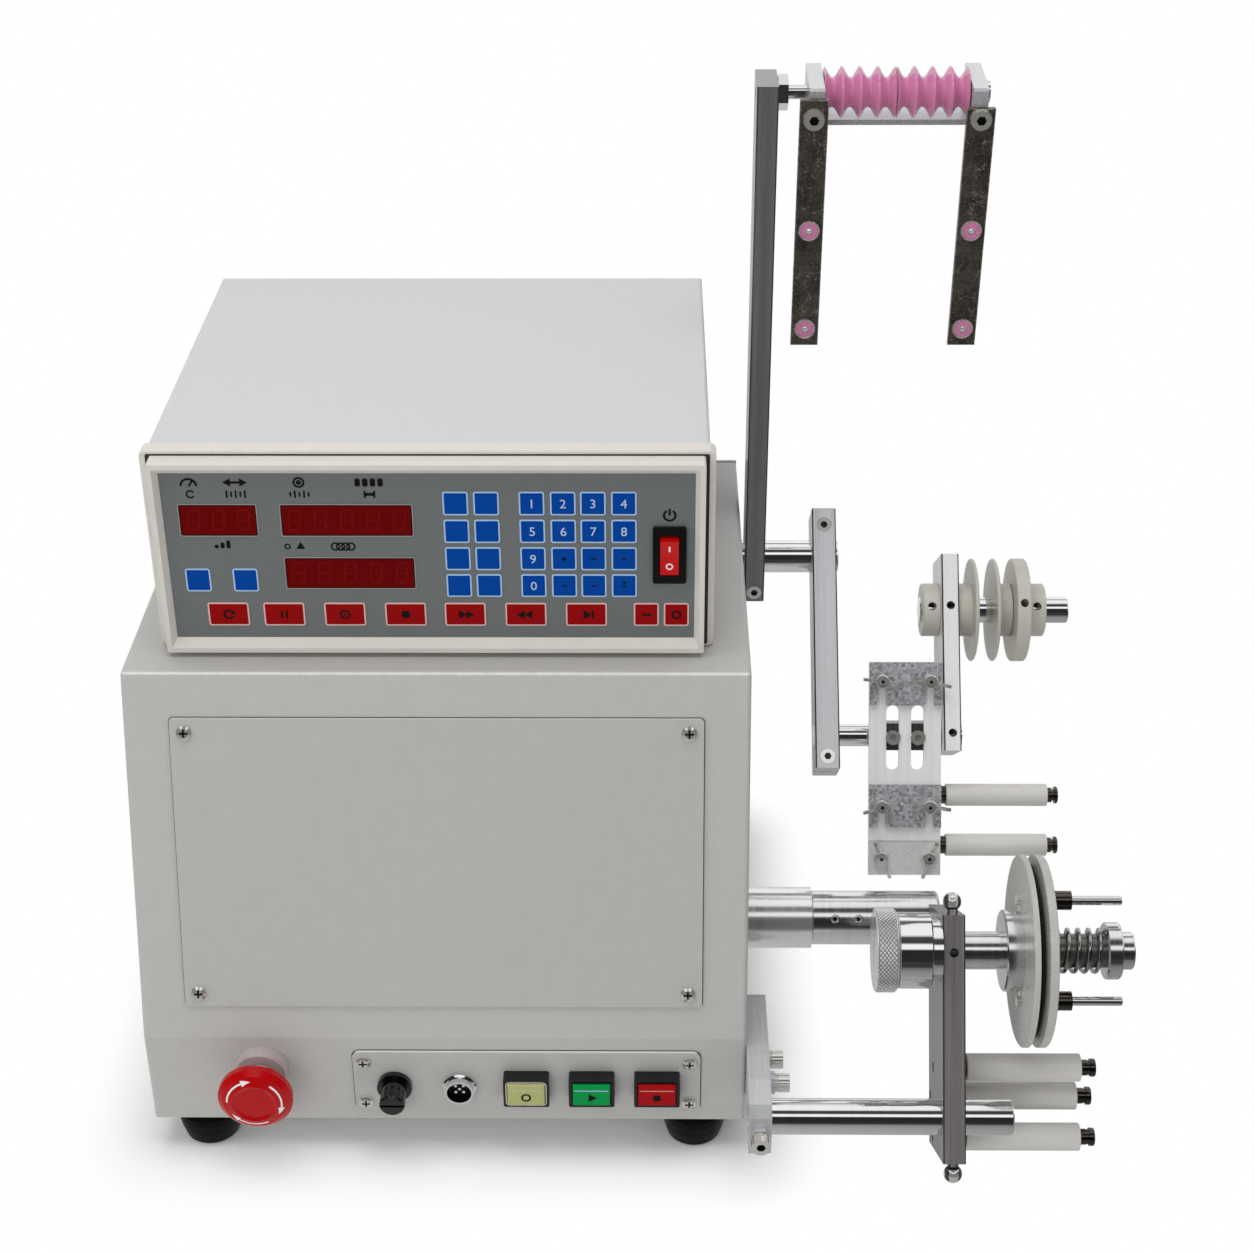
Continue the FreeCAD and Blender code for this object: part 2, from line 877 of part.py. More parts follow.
def make_fuse_cap():
    front = -fuse_neck_length - side_gap
    cap = rod_y(fuse_cap_radius, front - fuse_cap_length, front)
    cap = cap.makeChamfer(turned_edge, [e for e in cap.Edges if
                                        abs(e.CenterOfMass.y - (front - fuse_cap_length)) < 0.01])
    stub = rod_y(fuse_stub_radius, front, front + fuse_stub_length)
    slot = box(-fuse_cap_radius, fuse_cap_radius, front - fuse_cap_length - 1,
               front - fuse_cap_length + fuse_slot_depth,
               -fuse_slot_width / 2, fuse_slot_width / 2)
    grips = []
    for i in range(fuse_grip_count):
        angle = math.radians(360 / fuse_grip_count * i)
        grips.append(rod_y(fuse_grip_radius, front - fuse_cap_length - 1, front - 4,
                           fuse_cap_radius * math.cos(angle), fuse_cap_radius * math.sin(angle)))
    cap = cut_all(cap.fuse(stub), [slot] + grips)
    return moved(cap, fuse_x, plate_face_y, from_case(fuse_z))


def make_pedal_socket():
    r = socket_flange_radius
    c = socket_flange_chamfer
    flange = turned_x([(0, 0), (0, r), (socket_flange_thickness - c, r),
                       (socket_flange_thickness, r - c), (socket_flange_thickness, 0)])
    body = facing_front(flange).fuse(rod_y(socket_barrel_radius, -socket_barrel_length,
                                           socket_body_length))
    bore = rod_y(socket_bore_radius, -socket_barrel_length - 1,
                 socket_bore_depth - socket_barrel_length)
    body = body.cut(bore)
    floor = socket_bore_depth - socket_barrel_length
    body = body.fuse(rod_y(socket_pin_radius, floor - socket_pin_length, floor + 1))
    for i in range(socket_pin_count):
        angle = math.radians(socket_pin_turn + 360 / socket_pin_count * i)
        body = body.fuse(rod_y(socket_pin_radius, floor - socket_pin_length, floor + 1,
                               socket_pin_circle * math.cos(angle),
                               socket_pin_circle * math.sin(angle)))
    return moved(body, socket_x, plate_face_y, from_case(socket_z))


def make_button_housings():
    solids = []
    for x in button_places():
        half_w = button_width / 2
        half_h = button_height / 2
        front = rounded_plate(-half_w, half_w, -button_projection, 0, -half_h, half_h, 1.2)
        body = box(-button_body_width / 2, button_body_width / 2, 0, button_body_length,
                   -button_body_height / 2, button_body_height / 2)
        housing = front.fuse(body)
        pocket = box(-half_w + button_rim, half_w - button_rim, -button_projection - 1,
                     button_pocket_depth - button_projection,
                     -half_h + button_rim, half_h - button_rim)
        stem_hole = rod_y(button_stem_radius + side_gap, -button_projection,
                          button_stem_length + 8)
        housing = housing.cut(pocket).cut(stem_hole)
        solids.append(moved(housing, x, plate_face_y, from_case(button_z)))
    return Part.makeCompound(solids)


def make_button_cap(index):
    half_w = button_width / 2 - button_rim - side_gap
    half_h = button_height / 2 - button_rim - side_gap
    front = -button_projection - button_cap_projection
    cap = box(-half_w, half_w, front, front + button_cap_thickness, -half_h, half_h)
    edges = [e for e in cap.Edges if abs(e.CenterOfMass.y - front) < 0.01]
    cap = cap.makeFillet(0.8, edges)
    back = front + button_cap_thickness
    cap = cap.fuse(rod_y(button_stem_radius, back - 0.5, back + button_stem_length))
    return moved(cap, button_places()[index], plate_face_y, from_case(button_z))


def make_estop_base():
    collar = rod_y(estop_collar_radius, -estop_collar_length, 0)
    collar = collar.makeChamfer(1.2, [e for e in collar.Edges
                                      if abs(e.CenterOfMass.y + estop_collar_length) < 0.01])
    body = collar.fuse(rod_y(estop_body_radius, 0, estop_body_length))
    block = box(-estop_body_radius * 1.25, estop_body_radius * 1.25, estop_body_length * 0.5,
                estop_body_length, -estop_body_radius * 1.25, estop_body_radius * 1.25)
    hole = rod_y(estop_stem_radius + side_gap, -estop_collar_length - 1,
                 estop_stem_inner_length)
    return moved(body.fuse(block).cut(hole), estop_x, front_y, from_case(estop_z))


estop_travel = 4.0
estop_pocket_radius = 5.0
estop_pocket_depth = 8.0


def make_estop_stem():
    front = -estop_collar_length - estop_head_gap
    stem = rod_y(estop_stem_radius, front, estop_stem_inner_length - estop_travel - 2)
    peg = rod_y(estop_pocket_radius - side_gap, front - estop_pocket_depth + 1, front + 1)
    return moved(stem.fuse(peg), estop_x, front_y, from_case(estop_z))


def make_estop_head():
    back = -estop_collar_length - estop_head_gap - side_gap
    rim = estop_head_rim
    dome = estop_head_dome
    radius = estop_head_radius
    profile = [(0, 0), (0, estop_neck_radius), (estop_skirt - 1.5, radius - 1.5), (estop_skirt, radius),
               (rim, radius), (rim + dome * 0.55, radius * 0.86), (rim + dome, radius * 0.6),
               (rim + dome * 0.8, radius * 0.5), (rim + dome * 0.8, 0)]
    head = turned_x(profile).cut(rod_x(estop_pocket_radius, -1, estop_pocket_depth))
    head = facing_front(head)
    return moved(head, estop_x, front_y + back, from_case(estop_z))


# Controller box
controller_y0 = from_front(controller_front)
controller_y1 = controller_y0 + controller_depth
controller_z0 = top_z + controller_lift
controller_z1 = controller_z0 + controller_height
flange_y = controller_y0 + bezel_depth
cover_y0 = flange_y + collar_ring_depth
panel_y = controller_y0 + panel_recess


def make_controller_cover():
    half = controller_width / 2 + cover_overhang
    high = controller_z1 + cover_rise
    t = controller_sheet
    outer = box(controller_x - half, controller_x + half, cover_y0, controller_y1, controller_z0, high)
    edges = [e for e in outer.Edges
             if e.BoundBox.YLength > 10 and e.CenterOfMass.z > high - 1]
    edges += [e for e in outer.Edges
              if e.BoundBox.XLength > 10 and e.CenterOfMass.z > high - 1
              and e.CenterOfMass.y > controller_y1 - 1]
    outer = outer.makeFillet(2.0, edges)
    inner = box(controller_x - half + t, controller_x + half - t, cover_y0 - 1, controller_y1 - t,
                controller_z0 - 1, high - t)
    return outer.cut(inner)


def make_controller_tray():
    t = controller_sheet
    half = controller_width / 2 + cover_overhang - t - sheet_gap
    rear = controller_y1 - t - sheet_gap
    x0 = controller_x - half
    x1 = controller_x + half
    floor = box(x0, x1, cover_y0, rear, controller_z0, controller_z0 + t)
    front = box(x0, x1, cover_y0, cover_y0 + t, controller_z0,
                controller_z0 + tray_front_height)
    side_top = controller_z0 + tray_side_height
    left = box(x0, x0 + t, cover_y0, rear, controller_z0, side_top)
    right = box(x1 - t, x1, cover_y0, rear, controller_z0, side_top)
    tray = floor.fuse(front).fuse(left).fuse(right)
    feet = []
    for x in (x0 + controller_foot_inset, x1 - controller_foot_inset):
        for y in (cover_y0 + controller_foot_inset, rear_y - controller_foot_rear_inset):
            feet.append(rod_z(controller_foot_radius, top_z, controller_z0, x, y))
    return Part.makeCompound([tray.removeSplitter()] + feet)


def rectangle_y(y, x0, x1, z0, z1):
    """A rectangular wire in the plane of one y."""
    corners = [Vector(x0, y, z0), Vector(x1, y, z0), Vector(x1, y, z1), Vector(x0, y, z1)]
    return Part.makePolygon(corners + [corners[0]])


def make_controller_bezel():
    half = controller_width / 2
    side = half - bezel_lip
    x0 = controller_x - half
    x1 = controller_x + half
    low = controller_z0 + bezel_lip
    high = controller_z1 - bezel_lip
    frame = rounded_plate(x0, x1, controller_y0, flange_y, controller_z0, controller_z1, 1.2)
    ring = rounded_plate(x0 - collar_ring_overhang, x1 + collar_ring_overhang, flange_y, cover_y0,
                         controller_z0 - collar_ring_drop, controller_z1 + collar_ring_rise,
                         collar_ring_corner)
    edges = [e for e in ring.Edges
             if abs(e.CenterOfMass.y - flange_y) < 0.01 and abs(e.CenterOfMass.z) > 0]
    ring = ring.makeChamfer(0.6, edges)
    inner_side = side - bezel_splay_side
    splay = Part.makeLoft([
        rectangle_y(controller_y0 - 0.001, controller_x - side, controller_x + side, low, high),
        rectangle_y(panel_y, controller_x - inner_side, controller_x + inner_side,
                    low + bezel_splay_low, high - bezel_splay_high)], True, True)
    rebate = box(x0 + bezel_wall, x1 - bezel_wall, panel_y, cover_y0 + 1,
                 controller_z0 + bezel_wall, controller_z1 - bezel_wall)
    return frame.fuse(ring).cut(splay).cut(rebate)


def make_control_panel():
    half = controller_width / 2 - bezel_wall - sheet_gap
    x0 = controller_x - half
    x1 = controller_x + half
    low = controller_z0 + bezel_wall + sheet_gap
    high = controller_z1 - bezel_wall - sheet_gap
    z = from_case(switch_z)
    plate = box(x0, x1, panel_y, panel_y + panel_thickness, low, high)
    plate = plate.cut(box(switch_x - switch_body_width / 2 - sheet_gap,
                          switch_x + switch_body_width / 2 + sheet_gap,
                          panel_y - 1, panel_y + panel_thickness + 1,
                          z - switch_body_height / 2 - sheet_gap,
                          z + switch_body_height / 2 + sheet_gap))
    board_y = panel_y + panel_thickness + control_board_stand
    board_x0 = x0 + control_board_inset
    board_x1 = switch_x - switch_body_width
    board_low = low + control_board_inset
    board_high = high - control_board_inset
    board = box(board_x0, board_x1, board_y, board_y + control_board_thickness,
                board_low, board_high)
    inset = control_post_inset
    posts = [rod_y(control_post_radius, panel_y + panel_thickness, board_y, x, zz)
             for x in (board_x0 + inset, board_x1 - inset)
             for zz in (board_low + inset, board_high - inset)]
    for post in posts:
        board = board.fuse(post)
    rim = rounded_plate(switch_x - switch_width / 2, switch_x + switch_width / 2,
                        panel_y - switch_rim_thickness, panel_y,
                        z - switch_height / 2, z + switch_height / 2, 1.2)
    body = box(switch_x - switch_body_width / 2, switch_x + switch_body_width / 2, panel_y,
               panel_y + switch_body_depth, z - switch_body_height / 2, z + switch_body_height / 2)
    pocket = box(switch_x - rocker_width / 2 - side_gap, switch_x + rocker_width / 2 + side_gap,
                 panel_y - switch_rim_thickness - 1,
                 panel_y - switch_rim_thickness + rocker_pocket_depth,
                 z - rocker_height / 2 - 1.2, z + rocker_height / 2 + 1.2)
    return Part.makeCompound([plate, board.removeSplitter(), rim.fuse(body).cut(pocket)])


rocker_axis_y = panel_y - switch_rim_thickness + 3.0


def make_power_rocker():
    """The rocker's outline, turned so that its upper half stands out, at rest on off."""
    half = rocker_height / 2
    rise = half * math.tan(math.radians(rocker_tilt))
    front = -rocker_stand
    back = rocker_depth - rocker_tip_depth
    outline = [(front - rise * 0.2, 0), (front - rise, half), (back, half),
               (rocker_depth - 2.0, 0), (back, -half), (front - rise, -half)]
    rocker = extruded_x(outline, -rocker_width / 2, rocker_width / 2)
    rocker.rotate(ORIGIN, X_AXIS, rocker_tilt)
    return moved(rocker, switch_x, rocker_axis_y, from_case(switch_z))


# Drive
spindle_py = from_front(spindle_y)
spindle_pz = from_case(spindle_z)
motor_py = spindle_py + motor_distance_y
motor_pz = low_z + base_sheet + motor_size / 2


def make_spindle_sleeve():
    wall = side_x - case_sheet
    body = rod_x(sleeve_radius, sleeve_left, sleeve_right)
    body = body.fuse(rod_x(sleeve_flange_radius, wall - sleeve_flange_thickness, wall))
    body = body.cut(rod_x(spindle_shaft_radius + 2.5, sleeve_left - 1, sleeve_right + 1))
    seats = ((sleeve_left, sleeve_left + bearing_width),
             (sleeve_right - bearing_width - 1, sleeve_right - 1))
    bearings = []
    for x0, x1 in seats:
        body = body.cut(rod_x(bearing_outer_radius, x0, x1))
        ring = rod_x(bearing_outer_radius - 0.02, x0, x1)
        bearings.append(ring.cut(rod_x(spindle_shaft_radius + running_clearance, x0 - 1, x1 + 1)))
    body = body.cut(rod_x(spindle_shaft_radius + 2.5, seats[1][1] - 1, sleeve_right + 1))
    solids = [body] + bearings
    return Part.makeCompound([moved(s, 0, spindle_py, spindle_pz) for s in solids])


def pulley(x0, shaft_radius_inside):
    """A flat belt pulley with two rims, from x0 to the right."""
    x1 = x0 + pulley_width
    rim = pulley_radius + pulley_flange_rise
    wheel = turned_x([(x0, shaft_radius_inside), (x0, rim), (x0 + pulley_flange, rim),
                      (x0 + pulley_flange, pulley_radius), (x1 - pulley_flange, pulley_radius),
                      (x1 - pulley_flange, rim), (x1, rim), (x1, shaft_radius_inside)])
    return wheel


def make_winding_spindle():
    nose_left = sleeve_right + side_gap
    right = spindle_nose_right
    c = spindle_nose_chamfer
    r = spindle_nose_radius
    nose = turned_x([(nose_left, 0), (nose_left, r - 0.6), (nose_left + 0.6, r), (right - c, r),
                     (right, r - c), (right, 0)])
    body = nose.fuse(rod_x(spindle_shaft_radius, spindle_left, nose_left + 1))
    body = body.cut(rod_x(mandrel_bore_radius, right - mandrel_bore_depth, right + 1))
    angle = math.radians(grub_hole_angle)
    for x in grub_hole_x:
        hole = Part.makeCylinder(grub_hole_radius, r, Vector(x, 0, 0),
                                 Vector(0, -math.cos(angle), math.sin(angle)))
        body = body.cut(hole)
    wheel = pulley(pulley_x, spindle_shaft_radius + 0.02)
    return Part.makeCompound([moved(s, 0, spindle_py, spindle_pz) for s in (body, wheel)])


def make_drive_motor():
    half = motor_size / 2
    right = pulley_x - motor_shaft_gap
    body = box(right - motor_length, right, -half, half, -half, half)
    edges = [e for e in body.Edges if abs(e.tangentAt(e.FirstParameter).x) > 0.99]
    body = body.makeFillet(motor_corner_radius, edges)
    body = body.fuse(rod_x(motor_pilot_radius, right - 1, right + motor_pilot_length))
    body = body.cut(rod_x(motor_shaft_radius + 1, right - motor_bore_depth,
                          right + motor_pilot_length + 1))
    return moved(body, 0, motor_py, motor_pz)


def make_motor_pulley():
    right = pulley_x + pulley_width
    shaft = rod_x(motor_shaft_radius, pulley_x - motor_shaft_gap - motor_shaft_inside, right + 3)
    wheel = pulley(pulley_x, 0)
    return moved(shaft.fuse(wheel).removeSplitter(), 0, motor_py, motor_pz)


def belt_loop(radius, x0, x1):
    """The solid inside a belt line of one radius round both pulleys."""
    dy = motor_py - spindle_py
    dz = motor_pz - spindle_pz
    span = math.hypot(dy, dz)
    bar = box(x0, x1, 0, span, -radius, radius)
    bar.rotate(ORIGIN, X_AXIS, math.degrees(math.atan2(dz, dy)))
    bar.translate(Vector(0, spindle_py, spindle_pz))
    ends = rod_x(radius, x0, x1, spindle_py, spindle_pz)
    return bar.fuse(ends).fuse(rod_x(radius, x0, x1, motor_py, motor_pz)).removeSplitter()


def make_drive_belt():
    inner = pulley_radius + belt_running_gap
    x0 = pulley_x + pulley_flange + 1
    x1 = pulley_x + pulley_width - pulley_flange - 1
    return belt_loop(inner + belt_thickness, x0, x1).cut(belt_loop(inner, x0 - 1, x1 + 1))


def make_power_supply():
    x0 = -side_x + supply_side_gap
    y1 = rear_y - supply_rear_gap
    z0 = low_z + base_sheet
    supply = box(x0, x0 + supply_width, y1 - supply_length, y1, z0, z0 + supply_height)
    slots = []
    for i in range(supply_slot_count):
        y = y1 - supply_slot_start - supply_slot_pitch * i
        slots.append(box(x0 + supply_slot_inset, x0 + supply_width - supply_slot_inset,
                         y, y + supply_slot_width, z0 + supply_height - 2,
                         z0 + supply_height + 1))
    return cut_all(supply, slots)


# Upper arms
upper_py = from_front(upper_shaft_y)
upper_pz = from_case(upper_shaft_z)
long_arm_x0 = side_x + long_arm_gap
long_arm_x1 = long_arm_x0 + long_arm_width
axle_pz = upper_pz + axle_rise


def make_upper_shaft():
    wall = side_x - case_sheet
    c = shaft_end_chamfer
    shaft = turned_x([(wall - shaft_inside, 0), (wall - shaft_inside, shaft_radius),
                      (upper_shaft_end - c, shaft_radius),
                      (upper_shaft_end, shaft_radius - c), (upper_shaft_end, 0)])
    flange = rod_x(shaft_flange_radius, wall - shaft_flange_thickness, wall)
    return moved(shaft.fuse(flange), 0, upper_py, upper_pz)


def clamp_bar(x0, x1, front, back, low, high, bores):
    """An upright bar, made at the origin, with clamped bores.

    Each bore is (height, radius, slit end, screw height). The slit runs from the bore to
    the near end of the bar, and the clamp screw crosses it from the front.
    """
    bar = box(x0, x1, -front, back, low, high)
    edges = [e for e in bar.Edges if abs(e.tangentAt(e.FirstParameter).z) > 0.99]
    bar = bar.makeChamfer(arm_edge_chamfer, edges)
    centre = (x0 + x1) / 2
    screws = []
    for height, radius, slit_end, screw_height in bores:
        bar = bar.cut(rod_x(radius + running_clearance, x0 - 1, x1 + 1, 0, height))
        if slit_end is None:
            continue
        z0 = min(height, slit_end)
        z1 = max(height, slit_end)
        bar = bar.cut(box(x0 - 1, x1 + 1, -clamp_slit / 2, clamp_slit / 2, z0, z1))
        depth = front + back
        bar = bar.cut(rod_y(arm_screw_radius + screw_clearance, -front - 1, depth * 0.3,
                            centre, screw_height))
        bar = bar.cut(rod_y(arm_screw_head_radius + screw_clearance, -front - 1,
                            -front + arm_screw_head_height, centre, screw_height))
        screw = socket_screw(arm_screw_head_radius, arm_screw_head_height,
                             arm_screw_radius, depth * 0.55)
        screws.append(moved(facing_front(screw), centre, -front + arm_screw_head_height,
                            screw_height))
    return bar, screws


def make_long_arm():
    half = long_arm_depth / 2
    bar, screws = clamp_bar(long_arm_x0, long_arm_x1, half, half, -long_arm_below, long_arm_top,
                            [(0, shaft_radius, -long_arm_below - 1, -arm_screw_below)])
    bar = bar.cut(rod_x(guide_axle_thread_radius + screw_clearance, long_arm_x0 - 1,
                        long_arm_x1 + 1, 0, axle_rise))
    solids = [bar] + screws
    return Part.makeCompound([moved(s, 0, upper_py, upper_pz) for s in solids])


fork_right = fork_left + 2 * fork_block_thickness + fork_inner_width


def make_guide_axle():
    """The long axle, threaded into the arm, with its lock nut."""
    nut_x0 = long_arm_x1 + guide_nut_start
    nut_x1 = nut_x0 + guide_nut_thickness
    thread = rod_x(guide_axle_thread_radius, long_arm_x0 + 1, nut_x1)
    body = rod_x(guide_axle_radius, nut_x1, fork_right)
    head = rod_x(guide_axle_head_radius, fork_right + side_gap,
                 fork_right + side_gap + guide_axle_head)
    tip = rod_x(guide_axle_thread_radius, fork_right - 1, fork_right + side_gap + 0.5)
    nut = hexagon_x(guide_nut_radius, nut_x0, nut_x1)
    nut.rotate(ORIGIN, X_AXIS, guide_nut_turn)
    nut = nut.cut(rod_x(guide_axle_thread_radius + screw_clearance, nut_x0 - 1, nut_x1 + 1))
    axle = thread.fuse(body).fuse(tip).fuse(head)
    return Part.makeCompound([moved(s, 0, upper_py, axle_pz) for s in (axle, nut)])


def fork_block_starts():
    return (fork_left, fork_left + fork_block_thickness + fork_inner_width)


def hanging_bar_centres():
    return (hanging_bar_left, hanging_bar_left + hanging_bar_spacing)


def make_guide_fork():
    half = fork_block_depth / 2
    solids = []
    for x0, centre in zip(fork_block_starts(), hanging_bar_centres()):
        x1 = x0 + fork_block_thickness
        block = box(x0, x1, -half, half, -fork_block_below, fork_block_above)
        edges = [e for e in block.Edges if abs(e.tangentAt(e.FirstParameter).x) > 0.99
                 and e.CenterOfMass.z > 0]
        block = block.makeChamfer(1.2, edges)
        block = block.cut(rod_x(guide_axle_radius + running_clearance, x0 - 1, x1 + 1))
        block = block.cut(rod_y(fork_screw_radius + screw_clearance, -half - 1,
                                -half + fork_screw_hole_depth,
                                centre, hanging_screw_z))
        solids.append(block)
    y0 = fork_plate_front - 2
    plate = box(fork_left, fork_right, y0, y0 + fork_plate_width,
                -fork_block_below - fork_plate_thickness, -fork_block_below)
    solids.append(plate)
    return Part.makeCompound([on_fork(s) for s in solids])


def on_fork(shape):
    return lean_to(shape, upper_py, axle_pz, fork_lean)


def make_ceramic_roller(index):
    """A roller with V grooves between sharp ridges."""
    inner_left = fork_left + fork_block_thickness
    length = (fork_inner_width - 3 * ceramic_end_gap) / 2
    x0 = inner_left + ceramic_end_gap + index * (length + ceramic_end_gap)
    bore = guide_axle_radius + running_clearance
    pitch = length / ceramic_grooves
    root = ceramic_root_radius
    outer = ceramic_radius
    points = [(x0, bore), (x0, outer - 0.8)]
    for i in range(ceramic_grooves):
        start = x0 + i * pitch
        points += [(start + 0.55, outer), (start + pitch * 0.36, root + 0.9),
                   (start + pitch * 0.5, root), (start + pitch * 0.64, root + 0.9),
                   (start + pitch - 0.55, outer)]
    points += [(x0 + length, outer - 0.8), (x0 + length, bore)]
    return turned_x(points, upper_py, axle_pz)


def make_hanging_bars():
    """Two folded strips, their fixing screws and four ceramic eyelets."""
    front = -fork_block_depth / 2 - hanging_bar_thickness
    back = -fork_block_depth / 2
    t = hanging_bar_thickness * 0.5
    half = hanging_bar_width / 2
    solids = []
    for centre, high in zip(hanging_bar_centres(), hanging_bar_tops):
        low = hanging_bar_low
        bar = box(centre - half, centre + half, front, back, low, high)
        bar = bar.fuse(box(centre + half - t, centre + half, front, back + hanging_bar_lip,
                           low, hanging_bar_tops[1] - hanging_lip_drop))
        bar = bar.cut(rod_y(fork_screw_radius + screw_clearance, front - 1, back + 1,
                            centre, hanging_screw_z))
        for z in eyelet_heights:
            bar = bar.cut(rod_y(eyelet_body_radius, front - 1, back + 1, centre, z))
        solids.append(bar.removeSplitter())
        screw = socket_screw(fork_screw_head_radius, fork_screw_head_height, fork_screw_radius,
                              fork_screw_length)
        solids.append(moved(facing_front(screw), centre, front, hanging_screw_z))
        for z in eyelet_heights:
            eyelet = rod_y(eyelet_body_radius - 0.02, front, back, centre, z)
            eyelet = eyelet.fuse(rod_y(eyelet_radius, front - eyelet_flange, front, centre, z))
            eyelet = eyelet.fuse(rod_y(eyelet_radius, back, back + eyelet_flange, centre, z))
            bore = rod_y(eyelet_bore_radius, front - 5, back + 5, centre, z)
            solids.append(eyelet.cut(bore))
    return Part.makeCompound([on_fork(s) for s in solids])


# Middle arm and middle shaft
middle_py, middle_pz = lean_point(upper_py, upper_pz, middle_arm_lean, 0, -middle_arm_length)
middle_arm_x1 = middle_arm_left + middle_arm_width
plates_x1 = plates_left + plates_width
guide_arm_x0 = plates_x1 + guide_arm_gap
guide_arm_x1 = guide_arm_x0 + guide_arm_width


def make_middle_arm():
    half = middle_arm_depth / 2
    low = -middle_arm_length - middle_arm_below
    bar, screws = clamp_bar(
        middle_arm_left, middle_arm_x1, half, half, low, middle_arm_above,
        [(0, shaft_radius, middle_arm_above + 1, middle_screw_offset),
         (-middle_arm_length, middle_shaft_radius, low - 1,
          -middle_arm_length - middle_screw_offset + 1)])
    solids = [bar] + screws
    return Part.makeCompound([lean_to(s, upper_py, upper_pz, middle_arm_lean) for s in solids])


def make_middle_shaft():
    right = guide_arm_x1 + side_gap
    shaft = rod_x(middle_shaft_radius, middle_arm_left, right + 0.5)
    head = rod_x(middle_washer_radius, right, right + middle_washer_thickness)
    return moved(shaft.fuse(head), 0, middle_py, middle_pz)


# Guide plates. They are made upright about the middle shaft and then leaned.
plates_centre = plates_left + plates_width / 2
main_plate_back = -carrier_front - main_plate_thickness
felt_face = main_plate_back - felt_thickness
clamp_face = felt_face - clamp_plate_thickness
slot_xs = (plates_centre - plate_slot_spacing / 2, plates_centre + plate_slot_spacing / 2)
bolt_xs = (plates_centre - clamp_slot_spacing / 2, plates_centre + clamp_slot_spacing / 2)


def on_plates(shape):
    return lean_to(shape, middle_py, middle_pz, plates_lean)


def make_plate_carrier():
    """The block that sits on the middle shaft, with the two screws that hold the plate."""
    x0 = plates_left + carrier_side_inset
    x1 = plates_x1 - carrier_side_inset
    block = box(x0, x1, -carrier_front, carrier_back, -carrier_half_height, carrier_half_height)
    block = block.cut(rod_x(middle_shaft_radius + running_clearance, x0 - 1, x1 + 1))
    solids = []
    for x in slot_xs:
        screw = socket_screw(carrier_screw_head_radius, carrier_screw_head_height,
                             carrier_screw_radius,
                             main_plate_thickness + side_gap + carrier_screw_grip)
        seat = main_plate_back - side_gap
        block = block.cut(rod_y(carrier_screw_radius + screw_clearance, -carrier_front - 1,
                                -carrier_front + carrier_screw_grip + screw_hole_spare, x, 0))
        solids.append(moved(facing_front(screw), x, seat, 0))
    return Part.makeCompound([on_plates(s) for s in [block] + solids])


def slot_tool(x, width, y0, y1, z0, z1):
    """A slot with round ends."""
    r = width / 2
    middle = box(x - r, x + r, y0, y1, z0 + r, z1 - r)
    return middle.fuse(rod_y(r, y0, y1, x, z0 + r)).fuse(rod_y(r, y0, y1, x, z1 - r))


def make_slotted_plate():
    plate = box(plates_left, plates_x1, main_plate_back, -carrier_front,
                -main_plate_down, main_plate_up)
    tools = [slot_tool(x, plate_slot_width, main_plate_back - 1, -carrier_front + 1,
                       -plate_slot_down, plate_slot_up) for x in slot_xs]
    for x in bolt_xs:
        for z in (upper_clamp_bolt, lower_clamp_bolt):
            tools.append(rod_y(wing_stud_radius + screw_clearance, main_plate_back - 1,
                               -carrier_front + 1, x, z))
    return on_plates(cut_all(plate, tools))


def make_roller_block():
    x0 = plates_left + roller_block_inset
    x1 = plates_x1 - roller_block_inset
    low = -main_plate_down - bottom_plate_height
    block = box(x0, x1, -carrier_front, -carrier_front + roller_block_depth,
                low, roller_block_top)
    tools = []
    for z in plate_roller_heights:
        tools.append(rod_x(roller_pin_radius + running_clearance,
                           x1 - roller_pin_inside - roller_hole_spare, x1 + 1,
                           -carrier_front + plate_roller_back, z))
    for x in bolt_xs:
        for z in (lower_clamp_bolt, bottom_clamp_bolt):
            tools.append(rod_y(wing_stud_radius + screw_clearance, -carrier_front - 1,
                               -carrier_front + wing_stud_grip + screw_hole_spare, x, z))
    return on_plates(cut_all(block, tools))


def make_clamp_plates():
    """Two zinc plated clamp plates with open slots, and the plain plate below them."""
    solids = []
    for low, bolt in ((clamp_plate_low_edge, upper_clamp_bolt),
                      (lower_clamp_low_edge, lower_clamp_bolt)):
        plate = box(plates_left, plates_x1, clamp_face, felt_face, low, low + clamp_plate_height)
        r = clamp_slot_width / 2
        for x in bolt_xs:
            plate = plate.cut(rod_y(r, clamp_face - 1, felt_face + 1, x, bolt))
            plate = plate.cut(box(x - r, x + r, clamp_face - 1, felt_face + 1, low - 1, bolt))
        solids.append(plate)
    high = -main_plate_down - side_gap
    low = -main_plate_down - bottom_plate_height
    plate = box(plates_left, plates_x1, main_plate_back, -carrier_front, low, high)
    for x in bolt_xs:
        plate = plate.cut(rod_y(wing_stud_radius + screw_clearance, main_plate_back - 1,
                                -carrier_front + 1, x, bottom_clamp_bolt))
    solids.append(plate)
    return Part.makeCompound([on_plates(s) for s in solids + felt_pads()])


def felt_pads():
    """The felt strips between the main plate and the clamp plates."""
    solids = []
    for low, bolt in ((clamp_plate_low_edge, upper_clamp_bolt),
                      (lower_clamp_low_edge, lower_clamp_bolt)):
        inset = 1.0
        pad = box(plates_left + inset, plates_x1 - inset, felt_face, main_plate_back,
                  low + inset, low + clamp_plate_height - inset)
        r = clamp_slot_width / 2
        for x in bolt_xs:
            pad = pad.cut(rod_y(r, felt_face - 1, main_plate_back + 1, x, bolt))
            pad = pad.cut(box(x - r, x + r, felt_face - 1, main_plate_back + 1, low - 1, bolt))
        solids.append(pad)
    return solids


